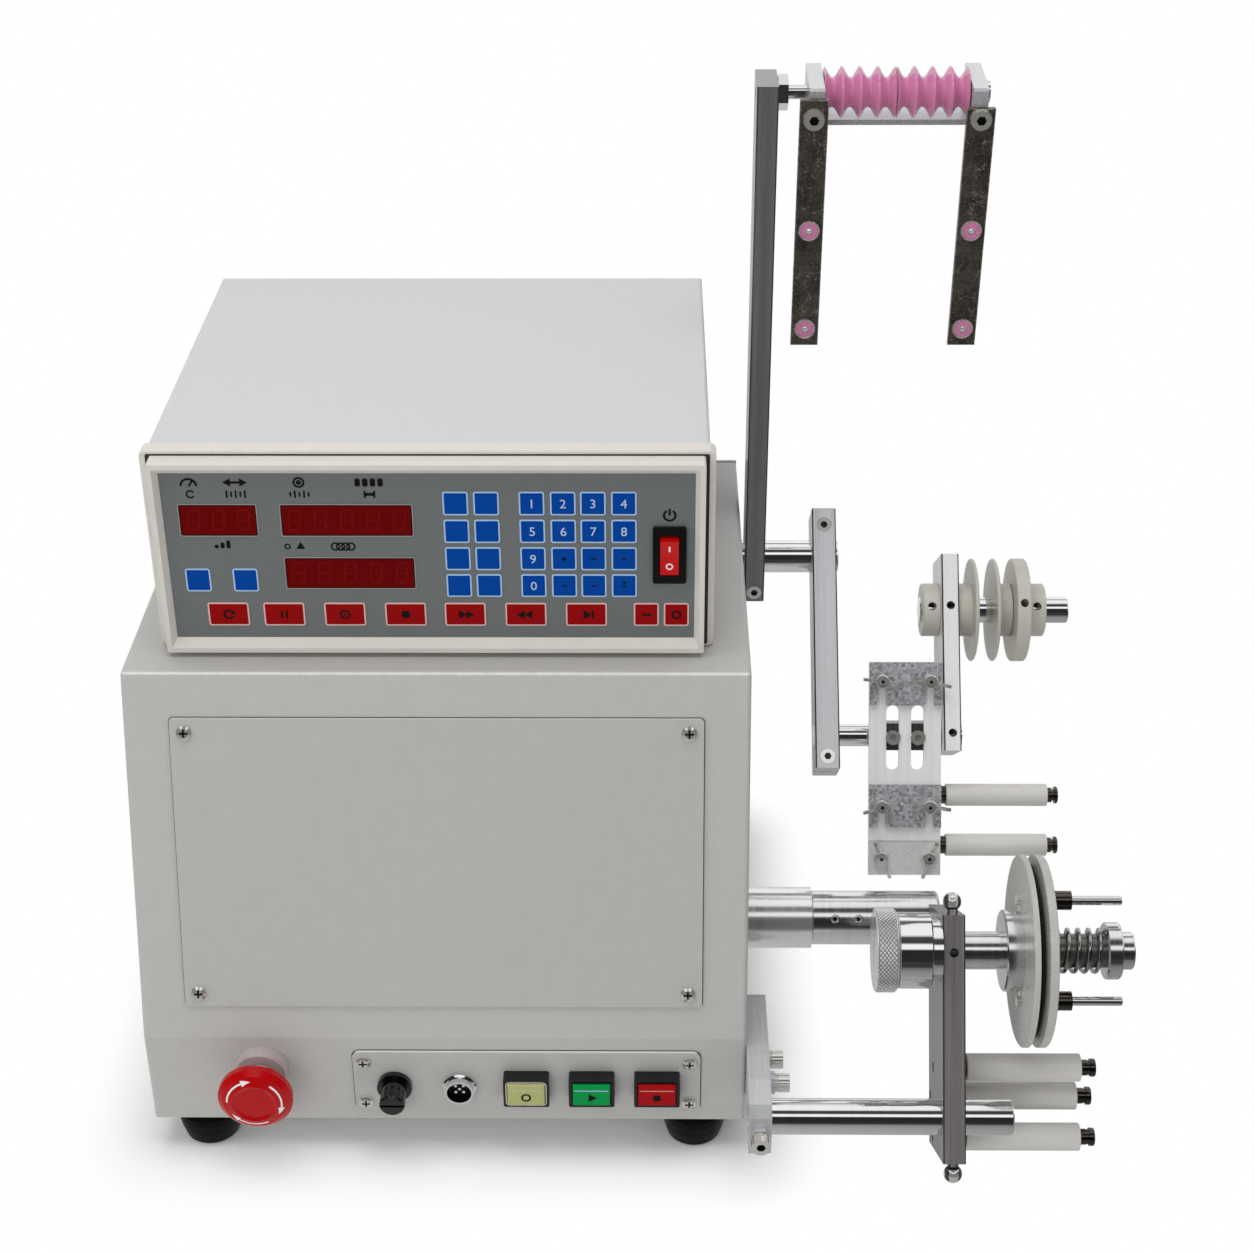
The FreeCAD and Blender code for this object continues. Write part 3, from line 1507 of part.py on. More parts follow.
def wing_nut(turn):
    """A wing nut with its seat at y = 0. Its wings rise outwards and are turned by an angle."""
    hub = rod_y(wing_hub_radius, -wing_hub_height, 0)
    hub = hub.makeFillet(wing_hub_fillet, [e for e in hub.Edges
                                           if abs(e.CenterOfMass.y + wing_hub_height) < 0.01])
    outline = [(0, wing_root_low), (wing_hub_radius * 0.8, wing_root_low),
               (wing_span - wing_corner, wing_tip_low), (wing_span, wing_tip_low + wing_corner),
               (wing_span, wing_height - wing_corner), (wing_span - wing_corner, wing_height),
               (wing_span - wing_height + wing_tip_low, wing_height),
               (wing_hub_radius, wing_root_high), (0, wing_root_high)]
    corners = [Vector(x, -rise, -wing_thickness / 2) for x, rise in outline]
    wing = Part.Face(Part.makePolygon(corners + [corners[0]])).extrude(Vector(0, 0, wing_thickness))
    other = wing.copy()
    other.rotate(ORIGIN, Y_AXIS, 180)
    nut = hub.fuse(wing).fuse(other)
    nut.rotate(ORIGIN, Y_AXIS, turn)
    return nut.removeSplitter()


def make_wing_bolts():
    """Studs with wing nuts, as (row height, seat, turns of the left and the right nut)."""
    rows = ((upper_clamp_bolt, clamp_face, upper_wing_turns),
            (lower_clamp_bolt, clamp_face, lower_wing_turns),
            (bottom_clamp_bolt, main_plate_back, bottom_wing_turns))
    solids = []
    for height, seat, turns in rows:
        for x, turn in zip(bolt_xs, turns):
            nut = wing_nut(turn)
            back = -carrier_front + wing_stud_grip - seat
            stud = rod_y(wing_stud_radius, -wing_hub_height - wing_stud_front, back)
            tip = wing_hub_height + wing_stud_front
            socket = facing_front(hexagon_x(wing_stud_socket_radius, tip - 1.2, tip + 1))
            piece = nut.fuse(stud).cut(socket)
            solids.append(on_plates(moved(piece, x, seat, height)))
    return Part.makeCompound(solids)


def turning_roller(x0, radius, collar, length, tail, pin_inside, groove_depth):
    """A nylon roller on its pin: inner collar, white sleeve and outer end with a groove."""
    x1 = x0 + collar
    x2 = x1 + length
    x3 = x2 + tail
    r = roller_pin_radius
    neck = roller_tail_radius - roller_tail_step
    groove = x2 + tail * roller_groove_place
    core = turned_x([
        (x0 - pin_inside, 0), (x0 - pin_inside, r), (x0, r), (x0, roller_collar_radius),
        (x1, roller_collar_radius), (x1, r), (x2, r), (x2, neck), (groove, neck),
        (groove, neck - groove_depth), (groove + roller_groove_width, neck - groove_depth),
        (groove + roller_groove_width, roller_tail_radius), (x3 - 0.5, roller_tail_radius),
        (x3, roller_tail_radius - 0.5), (x3, 0)])
    sleeve = rod_x(radius, x1, x2)
    sleeve = sleeve.makeChamfer(0.4, [e for e in sleeve.Edges if e.BoundBox.XLength < 0.01])
    sleeve = sleeve.cut(rod_x(r + 0.02, x1 - 1, x2 + 1))
    return [core, sleeve]


def make_plate_roller(index):
    x1 = plates_x1 - roller_block_inset
    y = -carrier_front + plate_roller_back
    solids = turning_roller(x1 + side_gap, plate_roller_radius,
                            plate_roller_collar + roller_block_inset, plate_roller_length,
                            plate_roller_tail, roller_pin_inside, roller_groove_depth)
    return Part.makeCompound([on_plates(moved(s, 0, y, plate_roller_heights[index]))
                              for s in solids])


# Guide arm and its wheels
guide_py, guide_pz = lean_point(middle_py, middle_pz, guide_arm_lean, 0, guide_arm_length)


def make_guide_arm():
    half = guide_arm_depth / 2
    bar = box(guide_arm_x0, guide_arm_x1, -half, half, -guide_arm_below,
              guide_arm_length + guide_arm_above)
    edges = [e for e in bar.Edges if abs(e.tangentAt(e.FirstParameter).z) > 0.99]
    bar = bar.makeChamfer(arm_edge_chamfer, edges)
    bar = bar.cut(rod_x(middle_shaft_radius + running_clearance, guide_arm_x0 - 1,
                        guide_arm_x1 + 1))
    bar = bar.cut(rod_x(guide_shaft_radius + 0.02, guide_arm_x0 - 1, guide_arm_x1 + 1,
                        0, guide_arm_length))
    centre = (guide_arm_x0 + guide_arm_x1) / 2
    for z in (0, guide_arm_length):
        bar = bar.cut(rod_y(set_screw_radius, -half - 1, 0, centre, z))
    return lean_to(bar, middle_py, middle_pz, guide_arm_lean)


def guide_wheel_places():
    """The x places along the guide shaft, from left to right."""
    left_hub = guide_arm_x1 + side_gap
    left_disc = left_hub + left_hub_length
    gap = left_disc + flange_disc_thickness
    right_disc = gap + flange_gap
    right_hub = right_disc + flange_disc_thickness
    thick = right_hub + right_hub_length + side_gap
    collar = thick + thick_disc_thickness
    return left_hub, left_disc, gap, right_disc, right_hub, thick, collar


def front_hole(radius, x, reach, lean):
    """A radial hole that points to the front, for a set screw."""
    hole = rod_y(radius, -reach - 1, 0, x, 0)
    hole.rotate(ORIGIN, X_AXIS, -lean)
    return hole


def make_guide_shaft():
    """The shaft, the two set collars and the thick disc that is fixed on it."""
    thick = guide_wheel_places()[5]
    collar = guide_wheel_places()[6]
    shaft = turned_x([(guide_shaft_left, 0), (guide_shaft_left, guide_shaft_radius - 0.6),
                      (guide_shaft_left + 0.6, guide_shaft_radius),
                      (guide_shaft_right - 0.6, guide_shaft_radius),
                      (guide_shaft_right, guide_shaft_radius - 0.6), (guide_shaft_right, 0)])
    bore = guide_shaft_radius + 0.02
    left = rod_x(collar_radius, left_collar_left, guide_arm_x0)
    disc = rod_x(flange_radius, thick, collar)
    right = rod_x(collar_radius, collar, collar + right_collar_length)
    solids = []
    for piece, x in ((left, (left_collar_left + guide_arm_x0) / 2),
                     (disc, (thick + collar) / 2), (right, collar + right_collar_length / 2)):
        ends = [e for e in piece.Edges if e.BoundBox.XLength < 0.01]
        piece = piece.makeChamfer(0.6, ends)
        piece = piece.cut(rod_x(bore, piece.BoundBox.XMin - 1, piece.BoundBox.XMax + 1))
        solids.append(piece.cut(front_hole(set_screw_radius, x, flange_radius, guide_arm_lean)))
    return Part.makeCompound([moved(s, 0, guide_py, guide_pz) for s in [shaft] + solids])


def make_guide_flange(index):
    left_hub, left_disc, gap, right_disc, right_hub, thick, _ = guide_wheel_places()
    bore = guide_shaft_radius + running_clearance
    r = flange_radius
    if index == 0:
        points = [(left_hub, bore), (left_hub, collar_radius - 0.4), (left_hub + 0.4, collar_radius),
                  (left_disc, collar_radius), (left_disc, r - 0.7), (left_disc + 0.7, r),
                  (gap - 0.7, r), (gap, r - 0.7), (gap, bore)]
    else:
        end = right_hub + right_hub_length
        points = [(right_disc, bore), (right_disc, r - 0.7), (right_disc + 0.7, r),
                  (right_hub - 0.7, r), (right_hub, r - 0.7), (right_hub, collar_radius),
                  (end - 0.4, collar_radius), (end, collar_radius - 0.4), (end, bore)]
    return turned_x(points, guide_py, guide_pz)


# Bracket and lower shaft
lower_py = from_front(lower_shaft_y)
lower_pz = from_case(lower_shaft_z)
bracket_x0 = side_x + bracket_gap
bracket_x1 = bracket_x0 + bracket_thickness


def make_shaft_bracket():
    """The clamp bracket, its lock screw, and the two side screws with their washers."""
    front = lower_py - bracket_front
    low = lower_pz - bracket_below
    high = lower_pz + bracket_above
    chamfer_z = lower_pz + bracket_front_above
    outline = [(front, low), (front, chamfer_z),
               (front + bracket_chamfer, chamfer_z + bracket_slope_rise),
               (front + bracket_chamfer + bracket_slope_length * 0.5, high - bracket_slope_drop),
               (front + bracket_chamfer + bracket_slope_length, high),
               (lower_py + bracket_back, high), (lower_py + bracket_back, low)]
    plate = extruded_x(outline, bracket_x0, bracket_x1)
    plate = plate.cut(rod_x(shaft_radius + 0.02, bracket_x0 - 1, bracket_x1 + 1,
                            lower_py, lower_pz))
    centre = (bracket_x0 + bracket_x1) / 2
    plate = plate.cut(rod_y(bracket_screw_radius + screw_clearance, front - 1, lower_py,
                            centre, lower_pz))
    for y in bracket_screw_y:
        plate = plate.cut(rod_x(bracket_screw_radius + screw_clearance, bracket_x0 - 1,
                                bracket_x1 + 1, from_front(y), from_case(bracket_screw_z)))
    solids = [plate]
    reach = bracket_front - shaft_radius - side_gap
    lock = socket_screw(bracket_screw_head_radius, bracket_screw_head_height,
                        bracket_screw_radius, lock_screw_shank_visible + reach)
    lock_nut = facing_front(hexagon_x(bracket_screw_head_radius, 0, lock_nut_thickness))
    lock_nut = lock_nut.cut(rod_y(bracket_screw_radius + screw_clearance,
                                  -lock_nut_thickness - 1, 1))
    solids.append(moved(facing_front(lock), centre, front - lock_screw_shank_visible, lower_pz))
    solids.append(moved(lock_nut, centre, front, lower_pz))
    for y, stand in zip(bracket_screw_y, bracket_screw_stand):
        place = (from_front(y), from_case(bracket_screw_z))
        x0 = bracket_x1
        x1 = x0 + washer_thickness + stand
        x2 = x1 + spring_washer_thickness
        hole = rod_x(bracket_screw_radius + screw_clearance, x0 - 1, x2 + 1)
        solids.append(moved(rod_x(washer_radius, x0, x1).cut(hole), 0, *place))
        solids.append(moved(rod_x(spring_washer_radius, x1, x2).cut(hole), 0, *place))
        screw = socket_screw(bracket_screw_head_radius, bracket_screw_head_height,
                             bracket_screw_radius, x2 - side_x + side_screw_grip)
        solids.append(moved(screw, x2, *place))
    return Part.makeCompound(solids)


def make_lower_shaft():
    c = shaft_end_chamfer
    shaft = turned_x([(bracket_x0 + 0.5, 0), (bracket_x0 + 0.5, shaft_radius),
                      (lower_shaft_end - c, shaft_radius),
                      (lower_shaft_end, shaft_radius - c), (lower_shaft_end, 0)])
    return moved(shaft, 0, lower_py, lower_pz)


# Tension arm
tension_py, tension_pz = lean_point(lower_py, lower_pz, tension_arm_lean, 0, tension_arm_length)
tension_arm_x1 = tension_arm_left + tension_arm_width
tension_arm_high = tension_arm_length + tension_arm_above


def on_tension_arm(shape):
    return lean_to(shape, lower_py, lower_pz, tension_arm_lean)


def make_tension_arm():
    """The arm plate with the two ball headed clamp screws in its ends."""
    plate = box(tension_arm_left, tension_arm_x1, -tension_arm_front, tension_arm_back,
                -tension_arm_below, tension_arm_high)
    edges = [e for e in plate.Edges if abs(e.tangentAt(e.FirstParameter).z) > 0.99]
    plate = plate.makeChamfer(arm_edge_chamfer, edges)
    x0 = tension_arm_left - 1
    x1 = tension_arm_x1 + 1
    centre = (tension_arm_left + tension_arm_x1) / 2
    tools = [rod_x(shaft_radius + running_clearance, x0, x1, 0, 0),
             rod_x(tension_shaft_radius + running_clearance, x0, x1, 0, tension_arm_length),
             rod_y(set_screw_radius, -tension_arm_front - 1, -tension_shaft_radius,
                   centre, tension_arm_length)]
    for forward, up in lower_roller_places:
        tools.append(rod_x(roller_pin_radius + running_clearance, x0, x1, -forward, up))
    screw_hole = ball_neck_radius + screw_clearance
    screw_depth = ball_shank + ball_hole_spare
    tools.append(rod_z(screw_hole, tension_arm_high - screw_depth, tension_arm_high + 1,
                       centre, -ball_forward))
    tools.append(rod_z(screw_hole, -tension_arm_below - 1, -tension_arm_below + screw_depth,
                       centre, -ball_forward))
    plate = cut_all(plate, tools)
    ball_up = ball_neck + ball_radius
    shank = rod_z(ball_neck_radius, -ball_shank, ball_up)
    ball = Part.makeSphere(ball_radius, Vector(0, 0, ball_up)).fuse(shank)
    socket = rod_z(ball_socket_radius, ball_up + 1, ball_up + ball_radius + 1)
    ball = ball.cut(socket)
    upper = moved(ball, centre, -ball_forward, tension_arm_high)
    lower = ball.copy()
    lower.rotate(ORIGIN, X_AXIS, 180)
    lower = moved(lower, centre, -ball_forward, -tension_arm_below)
    return Part.makeCompound([on_tension_arm(s) for s in (plate, upper, lower)])


def lower_roller_axis(index):
    forward, up = lower_roller_places[index]
    return lean_point(lower_py, lower_pz, tension_arm_lean, forward, up)


def make_lower_roller(index):
    y, z = lower_roller_axis(index)
    solids = turning_roller(tension_arm_x1 + side_gap, lower_roller_radius, lower_roller_collar,
                            lower_roller_length, lower_roller_tail,
                            tension_arm_width + side_gap - 0.5, lower_roller_groove_depth)
    return Part.makeCompound([moved(s, 0, y, z) for s in solids])


def at_wheel(shape):
    return moved(shape, 0, tension_py, tension_pz)


drum_x1 = tension_arm_left - brake_collar_length
drum_x0 = drum_x1 - brake_drum_length
knob_x1 = drum_x0 - side_gap
knob_x0 = knob_x1 - brake_knob_length


def make_brake_drum():
    drum = rod_x(brake_drum_radius, drum_x0, drum_x1)
    drum = drum.makeChamfer(turned_edge, [e for e in drum.Edges if e.BoundBox.XLength < 0.01])
    collar = rod_x(brake_collar_radius, drum_x1, tension_arm_left)
    body = drum.fuse(collar)
    body = body.cut(rod_x(tension_shaft_radius + 0.5, drum_x0 + brake_bore_depth - 1,
                          tension_arm_left + 1))
    body = body.cut(rod_x(brake_stud_radius + brake_bore_clearance, drum_x0 - 1,
                          drum_x0 + brake_bore_depth))
    return at_wheel(body)


def make_brake_knob():
    knob = rod_x(brake_knob_radius, knob_x0, knob_x1)
    knob = knob.makeChamfer(turned_edge, [e for e in knob.Edges if e.BoundBox.XLength < 0.01])
    knob = knob.cut(rod_x(brake_knob_recess_radius, knob_x0 - 1, knob_x0 + brake_knob_recess_depth))
    knob = knob.fuse(rod_x(brake_stud_radius, knob_x1 - 1,
                           knob_x1 + side_gap + brake_stud_length))
    return at_wheel(knob)


inner_disc_x0 = wheel_hub_left + wheel_hub_length
inner_disc_x1 = inner_disc_x0 + inner_disc_thickness
outer_disc_x0 = inner_disc_x1 + wheel_disc_gap
outer_disc_x1 = outer_disc_x0 + outer_disc_thickness


def make_tension_shaft():
    """The wheel's shaft with the spring's end collar."""
    left = drum_x0 + brake_bore_depth
    shaft = turned_x([
        (left, 0), (left, tension_shaft_radius), (inner_disc_x1, tension_shaft_radius),
        (inner_disc_x1, tension_core_radius), (end_collar_left, tension_core_radius),
        (end_collar_left, tension_shaft_radius - 0.1),
        (tension_shaft_end - 0.8, tension_shaft_radius - 0.1),
        (tension_shaft_end, tension_shaft_radius - 0.9), (tension_shaft_end, 0)])
    collar = rod_x(end_collar_radius, end_collar_left, end_collar_left + end_collar_length)
    collar = collar.makeChamfer(turned_edge, [e for e in collar.Edges if e.BoundBox.XLength < 0.01])
    collar = collar.cut(rod_x(tension_shaft_radius - 0.08, end_collar_left - 1,
                              end_collar_left + end_collar_length + 1))
    return Part.makeCompound([at_wheel(s) for s in (shaft, collar)])


def make_wheel_hub():
    """The hub and the inner disc that is screwed to it, with two screws."""
    bore = tension_shaft_radius + 0.02
    hub = turned_x([(wheel_hub_left, bore), (wheel_hub_left, wheel_hub_radius - 0.8),
                    (wheel_hub_left + 0.8, wheel_hub_radius),
                    (inner_disc_x0, wheel_hub_radius), (inner_disc_x0, bore)])
    r = wheel_disc_radius
    disc = turned_x([
        (inner_disc_x0, bore), (inner_disc_x0, r - 0.6), (inner_disc_x0 + 0.6, r),
        (inner_disc_x1 - wheel_bevel_depth, r), (inner_disc_x1, r - wheel_bevel_width),
        (inner_disc_x1, bore)])
    solids = [hub]
    for side in (-1, 1):
        up = side * hub_screw_circle * math.cos(math.radians(tension_arm_lean))
        back = side * hub_screw_circle * math.sin(math.radians(tension_arm_lean))
        disc = disc.cut(rod_x(hub_screw_radius + screw_clearance, inner_disc_x0 - 1,
                              inner_disc_x1 + 1, back, up))
        screw = rod_x(hub_screw_head_radius, inner_disc_x0 - hub_screw_head_height,
                      inner_disc_x0, back, up)
        screw = screw.fuse(rod_x(hub_screw_radius, inner_disc_x0 - 0.5, inner_disc_x1 - 0.3, back, up))
        solids.append(screw)
    solids.append(disc)
    return Part.makeCompound([at_wheel(s) for s in solids])


def make_outer_disc():
    """The sliding disc with its two guide pins on spacers."""
    bore = tension_core_radius + running_clearance
    r = wheel_disc_radius
    disc = turned_x([
        (outer_disc_x0, bore), (outer_disc_x0, r - wheel_bevel_width),
        (outer_disc_x0 + wheel_bevel_depth, r), (outer_disc_x1 - 0.6, r),
        (outer_disc_x1, r - 0.6), (outer_disc_x1, bore)])
    solids = [disc]
    for side in (-1, 1):
        up = side * wheel_pin_circle * math.cos(math.radians(tension_arm_lean))
        back = side * wheel_pin_circle * math.sin(math.radians(tension_arm_lean))
        spacer_end = outer_disc_x1 + wheel_spacer_length
        end = spacer_end + wheel_pin_length
        pin = turned_x([
            (outer_disc_x1, 0), (outer_disc_x1, wheel_spacer_radius),
            (spacer_end, wheel_spacer_radius), (spacer_end, wheel_pin_radius),
            (end - 0.5, wheel_pin_radius), (end, wheel_pin_radius - 0.5), (end, 0)], back, up)
        solids.append(pin)
    return Part.makeCompound([at_wheel(s) for s in solids])


def make_tension_spring():
    """An open coil spring of one round wire, on quarter turn arcs of constant climb."""
    x0 = outer_disc_x1 + spring_end_gap + spring_wire_radius
    x1 = end_collar_left - spring_end_gap - spring_wire_radius
    steps = int(round(spring_turns * 4))
    arcs = []
    for i in range(steps):
        points = []
        for k in (0, 0.5, 1):
            share = (i + k) / steps
            angle = 2 * math.pi * spring_turns * share
            points.append(Vector(x0 + (x1 - x0) * share,
                                 spring_mean_radius * math.sin(angle),
                                 spring_mean_radius * math.cos(angle)))
        arcs.append(Part.Arc(*points).toShape())
    path = Part.Wire(arcs)
    start = Vector(x0, 0, spring_mean_radius)
    climb = (x1 - x0) / (2 * math.pi * spring_turns)
    tangent = arcs[0].tangentAt(arcs[0].FirstParameter)
    circle = Part.Wire([Part.Circle(start, tangent, spring_wire_radius).toShape()])
    spring = path.makePipeShell([circle], True, False)
    pitch = 2 * math.pi * climb
    print("spring: pitch %.2f, gap between turns %.2f" % (pitch, pitch - 2 * spring_wire_radius))
    return at_wheel(Part.Solid(spring) if spring.ShapeType == "Shell" else spring)


makers = {
    "case_shell": make_case_shell,
    "base_plate": make_base_plate,
    "rear_cover": make_rear_cover,
    "front_plate": make_front_plate,
    "instrument_plate": make_instrument_plate,
    "panel_screws": make_panel_screws,
    "rubber_feet": make_rubber_feet,
    "fuse_holder": make_fuse_holder,
    "fuse_cap": make_fuse_cap,
    "pedal_socket": make_pedal_socket,
    "button_housings": make_button_housings,
    "mode_button": lambda: make_button_cap(0),
    "start_button": lambda: make_button_cap(1),
    "stop_button": lambda: make_button_cap(2),
    "estop_base": make_estop_base,
    "estop_stem": make_estop_stem,
    "estop_head": make_estop_head,
    "controller_cover": make_controller_cover,
    "controller_tray": make_controller_tray,
    "controller_bezel": make_controller_bezel,
    "control_panel": make_control_panel,
    "power_rocker": make_power_rocker,
    "spindle_sleeve": make_spindle_sleeve,
    "winding_spindle": make_winding_spindle,
    "drive_motor": make_drive_motor,
    "motor_pulley": make_motor_pulley,
    "drive_belt": make_drive_belt,
    "power_supply": make_power_supply,
    "upper_shaft": make_upper_shaft,
    "long_arm": make_long_arm,
    "guide_axle": make_guide_axle,
    "guide_fork": make_guide_fork,
    "hanging_bars": make_hanging_bars,
    "ceramic_roller_left": lambda: make_ceramic_roller(0),
    "ceramic_roller_right": lambda: make_ceramic_roller(1),
    "middle_arm": make_middle_arm,
    "middle_shaft": make_middle_shaft,
    "plate_carrier": make_plate_carrier,
    "slotted_plate": make_slotted_plate,
    "roller_block": make_roller_block,
    "clamp_plates": make_clamp_plates,
    "wing_bolts": make_wing_bolts,
    "plate_roller_upper": lambda: make_plate_roller(0),
    "plate_roller_lower": lambda: make_plate_roller(1),
    "guide_arm": make_guide_arm,
    "guide_shaft": make_guide_shaft,
    "guide_flange_left": lambda: make_guide_flange(0),
    "guide_flange_right": lambda: make_guide_flange(1),
    "shaft_bracket": make_shaft_bracket,
    "lower_shaft": make_lower_shaft,
    "tension_arm": make_tension_arm,
    "lower_roller_upper": lambda: make_lower_roller(0),
    "lower_roller_back": lambda: make_lower_roller(1),
    "lower_roller_low": lambda: make_lower_roller(2),
    "brake_drum": make_brake_drum,
    "brake_knob": make_brake_knob,
    "tension_shaft": make_tension_shaft,
    "wheel_hub": make_wheel_hub,
    "outer_disc": make_outer_disc,
    "tension_spring": make_tension_spring,
}

os.makedirs("parts", exist_ok=True)
for name, maker in makers.items():
    shape = maker()
    for solid in shape.Solids:
        if not solid.isValid() or solid.Volume <= 0:
            print("not a sound solid:", name)
    shape.exportStep("parts/" + name + ".step")
print("parts:", len(makers))
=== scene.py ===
import math

import bmesh
import bpy
from mathutils import Matrix, Vector
from mathutils.bvhtree import BVHTree


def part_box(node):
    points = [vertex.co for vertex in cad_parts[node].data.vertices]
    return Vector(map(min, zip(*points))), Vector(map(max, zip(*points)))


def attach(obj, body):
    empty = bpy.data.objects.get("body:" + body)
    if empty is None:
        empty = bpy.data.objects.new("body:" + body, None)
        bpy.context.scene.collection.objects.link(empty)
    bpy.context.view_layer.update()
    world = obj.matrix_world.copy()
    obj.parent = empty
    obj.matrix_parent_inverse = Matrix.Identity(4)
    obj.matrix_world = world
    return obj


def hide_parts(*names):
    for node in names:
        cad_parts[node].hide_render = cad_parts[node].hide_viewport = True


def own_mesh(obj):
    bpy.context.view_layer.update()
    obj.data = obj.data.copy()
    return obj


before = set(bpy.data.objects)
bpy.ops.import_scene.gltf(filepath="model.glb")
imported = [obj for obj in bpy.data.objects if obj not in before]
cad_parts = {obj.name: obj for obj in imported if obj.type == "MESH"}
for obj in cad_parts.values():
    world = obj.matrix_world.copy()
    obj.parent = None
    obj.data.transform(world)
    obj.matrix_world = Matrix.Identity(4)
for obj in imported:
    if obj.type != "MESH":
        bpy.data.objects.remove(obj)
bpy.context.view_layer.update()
mm = 0.001
print("frame loaded:", len(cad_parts), "nodes")


# Camera
cameraView = {
    "lens": 63.35,  # millimetres, on a sensor 36 mm wide
    "place": (0.1107, -1.0621, 0.8692),
    "down": 30.336,  # degrees below level
    "turn": 0.7175,  # degrees to the left of the Y axis
    "roll": -0.298,
}


def makeCamera():
    data = bpy.data.cameras.new("camera")
    data.lens = cameraView["lens"]
    data.sensor_width = 36
    data.clip_start = 0.05
    data.clip_end = 50
    camera = bpy.data.objects.new("camera", data)
    bpy.context.scene.collection.objects.link(camera)
    turn = Matrix.Rotation(math.radians(cameraView["turn"]), 4, "Z")
    tilt = Matrix.Rotation(math.radians(90 - cameraView["down"]), 4, "X")
    roll = Matrix.Rotation(math.radians(cameraView["roll"]), 4, "Z")
    camera.matrix_world = Matrix.Translation(cameraView["place"]) @ turn @ tilt @ roll
    bpy.context.scene.camera = camera


makeCamera()
bpy.context.scene.view_settings.view_transform = "Standard"
print("camera placed")


# Short ways to build node trees
def shade(red, green, blue):  # a screen colour from 0 to 255, as the linear one a shader takes
    def linear(value):
        value = value / 255
        return value / 12.92 if value <= 0.04045 else ((value + 0.055) / 1.055) ** 2.4
    return (linear(red), linear(green), linear(blue), 1)


class Bench:
    def __init__(self, tree):
        self.tree = tree

    def add(self, kind, values=None, **settings):
        node = self.tree.nodes.new(kind)
        for key, value in settings.items():
            setattr(node, key, value)
        for key, value in (values or {}).items():
            self.feed(node, key, value)
        return node

    def feed(self, node, key, value):  # a socket is linked, anything else is a value
        if isinstance(value, bpy.types.NodeSocket):
            self.tree.links.new(value, node.inputs[key])
        else:
            node.inputs[key].default_value = value

    def math(self, operation, first, second=0.0, clamp=False):
        node = self.add("ShaderNodeMath", {0: first, 1: second}, operation=operation)
        node.use_clamp = clamp
        return node.outputs[0]

    def mixed(self, first, second, share):  # two values, with this share of the second
        parts = [self.math("MULTIPLY", first, 1 - share), self.math("MULTIPLY", second, share)]
        return self.math("ADD", *parts)

    def blend(self, factor, first, second):
        node = self.add("ShaderNodeMix", {0: factor, 6: first, 7: second}, data_type="RGBA")
        return node.outputs[2]

    def span(self, value, low, high, newLow=0.0, newHigh=1.0):
        node = self.add("ShaderNodeMapRange", {0: value, 1: low, 2: high, 3: newLow, 4: newHigh})
        return node.outputs[0]

    def ramp(self, value, stops):  # stops are pairs of place and brightness
        node = self.add("ShaderNodeValToRGB", {0: value})
        edges = node.color_ramp.elements
        while len(edges) < len(stops):
            edges.new(0.5)
        for edge, (place, level) in zip(edges, stops):
            edge.position = place
            edge.color = (level, level, level, 1)
        return node.outputs[0]

    def noise(self, place, scale, detail=2.0, roughness=0.5):
        values = {"Vector": place, "Scale": scale, "Detail": detail, "Roughness": roughness}
        return self.add("ShaderNodeTexNoise", values).outputs["Fac"]

    def group(self, tree, values):
        node = self.add("ShaderNodeGroup", node_tree=tree)
        for key, value in values.items():
            self.feed(node, key, value)
        return node


# An empty shader group. inputs maps each name to its default, and a vector's default is None.
def newGroup(name, inputs, outputs):
    tree = bpy.data.node_groups.new(name, "ShaderNodeTree")
    for label, value in inputs.items():
        kind = "NodeSocketVector" if value is None else "NodeSocketFloat"
        socket = tree.interface.new_socket(name=label, in_out="INPUT", socket_type=kind)
        if value is not None:
            socket.default_value = value
    for label in outputs:
        tree.interface.new_socket(name=label, in_out="OUTPUT", socket_type="NodeSocketFloat")
    bench = Bench(tree)
    return bench, bench.add("NodeGroupInput").outputs, bench.add("NodeGroupOutput")


# Effects that several finishes share
def makeFineGrain():  # the small bumps of powder coat, moulded plastic and rubber
    bench, given, out = newGroup("fine grain", {"Place": None, "Size": 0.001}, ["Height", "Tone"])
    scale = bench.math("DIVIDE", 1.0, given["Size"])
    fine = bench.noise(given["Place"], scale, 2, 0.55)
    values = {"Vector": given["Place"], "Scale": scale}
    cells = bench.add("ShaderNodeTexVoronoi", values, feature="SMOOTH_F1").outputs[0]
    wide = bench.noise(given["Place"], bench.math("MULTIPLY", scale, 0.12), 3, 0.6)
    bench.feed(out, "Height", bench.mixed(fine, cells, 0.4))
    bench.feed(out, "Tone", bench.mixed(fine, wide, 0.6))
    return bench.tree


# Lightens outer edges, partly as wear and partly as a painted highlight along them
def makeEdgeWearAndHighlight():  # a mask along the outer edges, broken up
    inputs = {"Place": None, "Radius": 0.0008, "Size": 0.004}
    bench, given, out = newGroup("edge wear", inputs, ["Mask"])
    rounded = bench.add("ShaderNodeBevel", {"Radius": given["Radius"]}, samples=4)
    normals = {0: rounded.outputs[0], 1: bench.add("ShaderNodeNewGeometry").outputs["Normal"]}
    along = bench.add("ShaderNodeVectorMath", normals, operation="DOT_PRODUCT").outputs["Value"]
    edge = bench.span(along, 0.985, 0.86)
    patches = bench.noise(given["Place"], bench.math("DIVIDE", 1.0, given["Size"]), 3, 0.65)
    bench.feed(out, "Mask", bench.math("MULTIPLY", edge, bench.span(patches, 0.35, 0.65), clamp=True))
    return bench.tree


